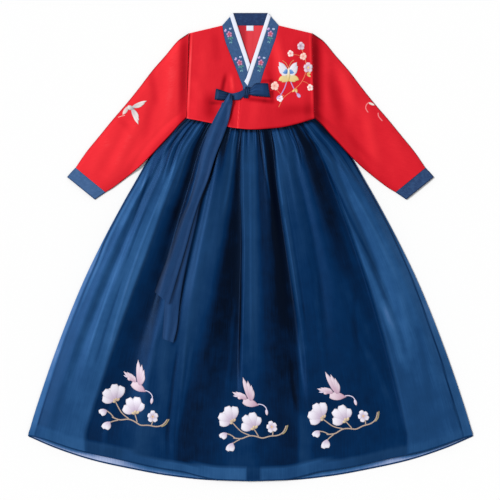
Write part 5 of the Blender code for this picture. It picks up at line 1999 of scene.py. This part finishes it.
@dataclass
class Jacket(Part):
    """The short jacket: its back, and its two fronts, the wearer's left over the right."""

    wall: float = 0.9 * MM
    back_wall: float = 1.1 * MM
    collar_rows: int = 60
    lower_rows: int = 36
    columns: int = 66
    back_grid: Grid = (60, 30)
    back_top: float = 553.2 * MM
    back_bottom: float = 312 * MM
    hem_row: float = 305 * MM
    under_top: float = 378 * MM
    over_top: float = 391.8 * MM

    def inner_edge(self, collar: Strip, lower: tuple, top: float, side: int) -> Array:
        """Points of a front's inner edge, from the neck down.

        Args:
            collar: The collar band that the front is sewn to.
            lower: Stations of the edge below the collar's end.
            top: Where the lower stretch starts.
            side: Which side of the body the front is on.

        Returns:
            Points in plan.
        """
        along = collar.edges(np.linspace(0, 1, self.collar_rows + 1))[0] + np.array([side * GAP, 0])
        along[0, 1] = NECK_Y
        y = np.linspace(top, self.hem_row, self.lower_rows)
        heights, places = np.array(sorted(lower), float).T
        x = np.interp(y / MM, heights, places) * MM
        return np.concatenate([along, np.stack([x, y], -1)])

    def plan(self, inner: Array, hem: Profile, side: int, columns: int) -> Array:
        """Points in plan of a panel.

        Args:
            inner: Its inner edge, from the shoulder line to the hem.
            hem: Height of the hem by x.
            side: Which side of the body it is on.
            columns: How many columns it has, from its inner edge to its armhole.

        Returns:
            Rows of points.
        """
        start_x, start_y = inner[:, :1], inner[:, 1:]
        share = by_column(columns)
        x = mix(start_x, side * side_line(start_y), share)
        y = start_y + (shoulder_line(x) - NECK_Y) * smooth(480 * MM, inner[0, 1], start_y)
        y = y + (hem.at(x) - inner[-1, 1]) * smooth(365 * MM, inner[-1, 1], start_y)
        return np.stack([mix(start_x, side * side_line(y), share), y], -1)

    def front(self, name: str, inner: Array, side: int, low: Height) -> Object:
        """Makes one front with its creases and its turned hem, with painted shade along the hem and the
        armhole seam.

        Args:
            name: The node that it stands for, without its jacket prefix.
            inner: Its inner edge.
            side: Which side of the body it is on.
            low: Height of its underside.

        Returns:
            The front.
        """
        plan = self.plan(inner, JACKET_HEM, side, self.columns)
        x, y = plan[..., 0], plan[..., 1]
        height = front_top(low)(x, y) - rolled(plan, 0.7, 2.5, ALL_EDGES)
        shell = Shell(f"jacket_{name}_cloth", lifted(plan, height), plan, self.wall)
        # painted shade along the rolled hem and armhole edge
        shell.tone = jacket_tone(x, y) - 60 * rolled(plan, 1.5, 3, "last_row last_column")
        return place(shell.build(self.stock.red, self.stock.rose), Slot.RED, f"jacket_{name}")

    def back(self) -> Object:
        """Makes the back, whose lining shows inside the neck with its centre seam.

        Returns:
            The back.
        """
        y = mix(self.back_top, self.back_bottom, np.linspace(0, 1, self.back_grid[0] + 1))
        half = self.plan(np.stack([0 * y, y], -1), BACK_JACKET_HEM, 1, self.back_grid[1])
        plan = np.concatenate([half[:, :0:-1] * (-1, 1), half], axis=1)
        x, y = plan[..., 0], plan[..., 1]
        lift = rise(BACK_CREASES, x, y) * ramp(425, 440, y)
        lift = lift * ramp(0, 14, shoulder_line(x) - y) * ramp(150, 125, np.abs(x))
        shell = Shell("jacket_back_cloth", lifted(plan, lift), plan, self.back_wall, faces_down=True)
        # outside, the creases' tones are painted shade; inside the neck, lit_half is painted light and the
        # cloth low in the neck is painted darker, as shade
        outside, inside, lit_half, seam, below = 0.58, 0.42, 0.38, 0.30, 0.25
        shell.tone = outside + shade(BACK_CREASES, x, y)
        shell.inner_tone = inside + lit_half * ramp(-17, -5, x) - seam * bump((x - 3 * MM) / (3 * MM))
        shell.inner_tone = shell.inner_tone - below * ramp(470, 420, y)
        return place(shell.build(self.stock.red, self.stock.rose), Slot.RED, "jacket_back")

    def make(self) -> None:
        """Builds the jacket's body."""
        back = self.back()
        inner = self.inner_edge(UNDER_COLLAR, UNDER_FRONT_EDGE, self.under_top, -1)
        under = self.front("front_right", inner, -1, jacket_low)
        inner = self.inner_edge(OVER_COLLAR, OVER_FRONT_EDGE, self.over_top, 1)
        over = self.front("front_left", inner, 1, over_low)
        spray = self.stock.stitched.lay("jacket_breast_spray", BREAST_SPRAY, over, (106, 432))


@dataclass
class Collar(Part):
    """The collar band with its white strips, the stretch behind the neck, and a blank label under that."""

    wall: float = 1.1 * MM
    label: Pair = (17.5 * MM, 13 * MM)
    label_x: float = -1.2 * MM
    label_cloth: float = 1.0 * MM
    band_grid: Grid = (60, 14)
    strip_grid: Grid = (60, 8)
    neck_grid: Grid = (40, 14)
    label_grid: Grid = (16, 12)
    neck_tone: float = 0.24
    flowers: tuple = (
        ("right_upper", (-53, 531), 12), ("right_lower", (-27, 460), 14),
        ("left_upper", (50, 532), -10), ("left_lower", (26, 460), -12),
    )

    def strip(self, name: str, strip: Strip, low: Height, cloth: float, grid: Grid,
              finish: Material, slot: Slot, tone: float = 0.5) -> Object:
        """One band laid along the neck.

        Args:
            name: The node that it stands for.
            strip: Its sections in plan.
            low: Height that it lies on.
            cloth: How thick it is with its turnings.
            grid: Rows and columns.
            finish: Its cloth.
            slot: The record's slot for it.
            tone: How light its middle is; its edges are painted darker, as shade.

        Returns:
            The band.
        """
        plan = strip.grid(*grid)
        height = low(plan[..., 0], plan[..., 1]) + cloth - rolled(plan, 0.8, 2.2, ALL_EDGES)
        shell = Shell(f"{name}_cloth", lifted(plan, height), flat_band(plan, even=True), self.wall)
        # painted shade along the rolled side edges
        shell.tone = tone - 130 * rolled(plan, 1, 3, SIDES)
        return place(shell.build(finish), slot, name)

    def make(self) -> None:
        """Builds the collar."""
        navy = (self.band_grid, self.stock.navy, Slot.COLLAR)
        white = (self.strip_grid, self.stock.white, Slot.WHITE)
        right = self.strip("collar_right", UNDER_COLLAR, jacket_low, COLLAR_CLOTH, *navy)
        left = self.strip("collar_left", OVER_COLLAR, over_low, COLLAR_CLOTH, *navy)
        white_right = self.strip("dongjeong_right", UNDER_DONGJEONG,
                                 lambda x, y: jacket_low(x, y) + CROSSING_RISE, CLOTH, *white)
        white_left = self.strip("dongjeong_left", OVER_DONGJEONG,
                                lambda x, y: over_low(x, y) + CROSSING_RISE, CLOTH, *white)
        neck = self.strip("collar_back", NECK_BACK, lambda x, y: 0 * x, COLLAR_CLOTH, self.neck_grid,
                          *navy[1:], self.neck_tone)
        top, bottom = (NECK_Y - GAP) / MM, (NECK_Y - GAP - self.label[1]) / MM
        sides = ((self.label_x + side * self.label[0] / 2) / MM for side in (-1, 1))
        label = self.strip("neck_label", Strip(tuple((x, top, x, bottom) for x in sides)),
                           lambda x, y: LAYER + 0 * x, self.label_cloth, self.label_grid, *white[1:])
        flowers = {right: [], left: []}
        for name, at, turn in self.flowers:
            band = right if name.startswith("right") else left
            motif = self.stock.stitched.lay(f"collar_flower_{name}", COLLAR_FLOWER, band, at, turn)
            flowers[band].append(motif)


# --- the ribbon tie


@dataclass
class Tie(Part):
    """The ribbon tie: a loop on each side of the knot, the band between them, the knot and two tails."""

    wall: float = 0.8 * MM
    loop_grid: Grid = (32, 20)
    loop_swell: float = 2.8 * MM
    loop_pleats: float = 0.7 * MM
    bend: float = 60
    band_grid: Grid = (24, 14)
    knot_grid: Grid = (40, 16)
    knot_arch: float = 4.2 * MM
    knot_pleats: float = 0.6 * MM
    cover_reach: float = 9 * MM
    short_reach: float = 15.3 * MM
    tail_grid: Grid = (150, 16)
    crease_width: float = 0.22

    def loop(self, name: str, strip: Strip, tone: float) -> Object:
        """A loop that runs out along the jacket, turns back at its end and returns over itself.

        Args:
            name: The node that it stands for.
            strip: Its sections in plan, from its end to the knot.
            tone: How light it is.

        Returns:
            The loop.
        """
        plan = strip.grid(*self.loop_grid)
        away = by_row(self.loop_grid[0])[::-1]
        across = by_column(self.loop_grid[1], -1)
        base = bow_bed(plan[..., 0], plan[..., 1])
        crown = (1 - np.abs(across) ** 3) * smooth(-0.02, 0.4, away) * smooth(1.0, 0.75, away)
        pleats = np.cos(3.2 * np.pi * across) * smooth(0.85, 0.1, away)
        top = base + 2 * CLOTH + NECK_SWELL + self.loop_swell * crown
        top = top + self.loop_pleats * pleats * smooth(1.1, 0.6, np.abs(across))
        low = base + GAP
        outward = plan[0] - plan[1]
        outward /= np.linalg.norm(outward, axis=-1, keepdims=True)
        angles = np.radians(np.linspace(-self.bend, self.bend, 5))
        turned = []
        for angle in angles:
            height = mix(low[0], top[0], 0.5 + 0.5 * math.sin(angle))
            turned.append(lifted(plan[0] + outward * math.cos(angle) * EDGE_ROUND, height))
        grid = np.concatenate([lifted(plan, low)[::-1], np.array(turned), lifted(plan, top)])
        shell = Shell(f"{name}_ribbon", grid, flat_band(grid[..., :2]), self.wall)
        # painted light and shade follow the pleats, and painted shade darkens the sides and both ends
        pleat, side, tip, root, under = 0.12, 0.35, 0.35, 0.25, 0.2
        face = tone + pleat * pleats - side * np.abs(across) ** 4
        face = face - tip * smooth(0.25, 0.0, away) - root * smooth(0.93, 1.0, away)
        shell.tone = np.concatenate([under + 0 * base, np.full((len(turned), base.shape[1]), tone), face])
        return place(shell.build(self.stock.ribbon), Slot.RIBBON, name)

    def laid(self, name: str, strip: Strip, low: Height, grid: Grid, tone: Array | float = 0.5,
             crest: Array | float = 0.0) -> Object:
        """Makes a stretch of ribbon laid flat, with its edges rolled.

        Args:
            name: The node that it stands for.
            strip: Its sections in plan.
            low: Height that it lies on.
            grid: Rows and columns.
            tone: How light it is; its sides are painted darker, as shade.
            crest: How far it stands above what it lies on.

        Returns:
            The stretch.
        """
        plan = strip.grid(*grid)
        height = low(plan[..., 0], plan[..., 1])
        for _ in range(3):
            padded = np.concatenate([height[:1], height, height[-1:]])
            height = np.maximum((padded[:-2] + padded[1:-1] + padded[2:]) / 3, height - 0.2 * MM)
        height = height + CLOTH + crest - rolled(plan, 0.5, 1.6, SIDES + " last_row")
        shell = Shell(f"{name}_ribbon", lifted(plan, height), flat_band(plan), self.wall)
        # painted shade along the rolled sides
        shell.tone = tone - 200 * rolled(plan, 1.2, 3, SIDES)
        return place(shell.build(self.stock.ribbon), Slot.RIBBON, name)

    def tail(self, name: str, strip: Strip, low: Height,
             creases: Sequence[Triple]) -> Object:
        """Makes one long tail with soft creases along it.

        Args:
            name: The node that it stands for.
            strip: Its sections in plan.
            low: Height that it lies on.
            creases: Where each crease starts and ends across it, as shares, and its height in mm.

        Returns:
            The tail.
        """
        along, across = by_row(self.tail_grid[0]), by_column(self.tail_grid[1])
        crest = 0 * along * across
        # painted shade of a fold on the right side near the knot
        tone = 0.5 - 0.5 * smooth(0.12, 0.01, along) * smooth(0.35, 0.75, across)
        for start, end, height in creases:
            ridge = height * bump((across - mix(start, end, along)) / self.crease_width)
            crest = crest + MM * ridge
            # painted light on a crease's ridge and painted shade in its trough
            tone = tone + 0.12 * ridge
        if strip is LONG_TAIL:
            plan = strip.grid(*self.tail_grid)
            # the short tail's painted shadow on the long one
            tone = tone - 0.35 * beside(SHORT_TAIL, plan[..., 0], plan[..., 1])
        else:
            tone = tone - 0.42 * smooth(0.50, 0.02, across) * smooth(0.40, 0.68, along)
        return self.laid(name, strip, low, self.tail_grid, tone, crest)

    def knot(self) -> Object:
        """Makes the knot, which arches over the bow's middle.

        Returns:
            The knot.
        """
        run, across = by_row(self.knot_grid[0]), by_column(self.knot_grid[1], -1)
        pleats = np.cos(2.4 * np.pi * across) + 0 * run
        arch = self.knot_arch * smooth(0, 0.28, run) * smooth(1, 0.72, run) + 0.3 * CLOTH
        arch = arch + self.knot_pleats * pleats * smooth(1.05, 0.7, np.abs(across))
        # painted light and shade follow the knot's pleats
        return self.laid("goreum_knot", KNOT, bow_bed, self.knot_grid, 0.22 + 0.2 * pleats, arch)

    def long_low(self, x: Array, y: Array) -> Array:
        """Height that the long tail lies on."""
        return draped(x, y, self.cover_reach) + GAP

    def short_low(self, x: Array, y: Array) -> Array:
        """Height that the short tail lies on, over the long one and over the bow's band."""
        over_band = (LAYER + NECK_SWELL) * ramp(352, 364, y)
        return draped(x, y, self.short_reach) + 1.3 * CLOTH + 2 * GAP + over_band

    def band_low(self, x: Array, y: Array) -> Array:
        """Height that the bow's band lies on."""
        return bow_bed(x, y) + NECK_SWELL * ramp(365, 372, y) * ramp(395, 385, y)

    def make(self) -> None:
        """Builds the tie."""
        left = self.loop("goreum_loop_left", LOOP_LEFT, 0.48)
        right = self.loop("goreum_loop_right", LOOP_RIGHT, 0.24)
        band = self.laid("goreum_band", TIE_BAND, self.band_low, self.band_grid, 0.46)
        knot = self.knot()
        creases = ((0.3, 0.35, 0.8), (0.7, 0.66, -0.5))
        long = self.tail("goreum_tail_long", LONG_TAIL, self.long_low, creases)
        creases = ((0.35, 0.3, 0.9), (0.72, 0.7, -0.5))
        short = self.tail("goreum_tail_short", SHORT_TAIL, self.short_low, creases)


# --- the studio


@dataclass
class Studio:
    """A plain pale floor, soft light and a camera straight above."""

    floor_size: float = 9.0
    floor_drop: float = 0.6 * MM
    floor_grey: float = 0.79
    camera_height: float = 3.2
    camera_reach: float = 50
    view_width: float = 1.25
    middle: Pair = (-1.25 * MM, -7.5 * MM)
    sensor: float = 36.0
    key_direction: Pair = (205.0, 48.0)
    key_distance: float = 3
    key_strength: float = 3.0
    key_angle: float = 24.0
    dome_strength: float = 0.55

    def floor(self) -> None:
        """Lays the floor, pale painted board that scatters light evenly."""
        bpy.ops.object.select_all(action="DESELECT")
        bpy.ops.mesh.primitive_grid_add(x_subdivisions=4, y_subdivisions=4, size=self.floor_size,
                                        location=(0, 0, -self.floor_drop))
        bpy.ops.object.transform_apply(location=True, rotation=False, scale=False)
        floor = bpy.context.active_object
        floor.name = "floor"
        material = bpy.data.materials.new("pale_painted_board")
        material.use_nodes = True
        shader = material.node_tree.nodes["Principled BSDF"]
        shader.inputs["Base Color"].default_value = (*[self.floor_grey] * 3, 1)
        shader.inputs["Roughness"].default_value = 0.9
        shader.inputs["Specular IOR Level"].default_value = 0.0
        floor.data.materials.append(material)

    def light(self) -> None:
        """Hangs a large soft key light at the upper left, and an even pale dome."""
        lamp = bpy.data.lights.new("key_light", "SUN")
        lamp.energy = self.key_strength
        lamp.angle = math.radians(self.key_angle)
        key = add_object("key_light", lamp)
        azimuth, elevation = (math.radians(angle) for angle in self.key_direction)
        towards = Vector((
            math.cos(elevation) * math.cos(azimuth), -math.cos(elevation) * math.sin(azimuth),
            math.sin(elevation),
        ))
        key.rotation_euler = towards.to_track_quat("Z", "Y").to_euler()
        key.location = towards * self.key_distance
        world = bpy.data.worlds.new("pale_dome")
        world.use_nodes = True
        background = world.node_tree.nodes["Background"]
        background.inputs["Color"].default_value = (1.0, 1.0, 1.0, 1)
        background.inputs["Strength"].default_value = self.dome_strength
        bpy.context.scene.world = world
        bpy.context.scene.view_settings.view_transform = "Standard"

    def camera(self) -> None:
        """Sets the camera straight above the garment."""
        data = bpy.data.cameras.new("camera")
        data.sensor_width = self.sensor
        data.lens = self.sensor * self.camera_height / self.view_width
        data.clip_end = self.camera_reach
        camera = add_object("camera", data)
        camera.location = (*self.middle, self.camera_height)
        bpy.context.scene.camera = camera

    def make(self) -> None:
        """Builds the studio."""
        self.camera()
        self.light()
        self.floor()


def main() -> None:
    """Builds every piece in order."""
    logging.basicConfig(level=logging.INFO, format="%(name)s: %(message)s")
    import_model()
    Studio().make()
    finishes = (ORGANZA, LINING, RED, RED_LINING, NAVY_COTTON, WHITE_COTTON, RIBBON)
    stock = Stock(*(finish.make() for finish in finishes), Embroidery(Floss().make()))
    Skirt(stock).make()
    Jacket(stock).make()
    Sleeve(stock, "right", -1, RIGHT_SLEEVE_CREASES, SLEEVE_BIRD, (-298, 347), 0.94).make()
    Sleeve(stock, "left", 1, LEFT_SLEEVE_CREASES, SLEEVE_TAIL, (303, 361), 1.0).make()
    Collar(stock).make()
    Tie(stock).make()


if __name__ == "__main__":
    main()
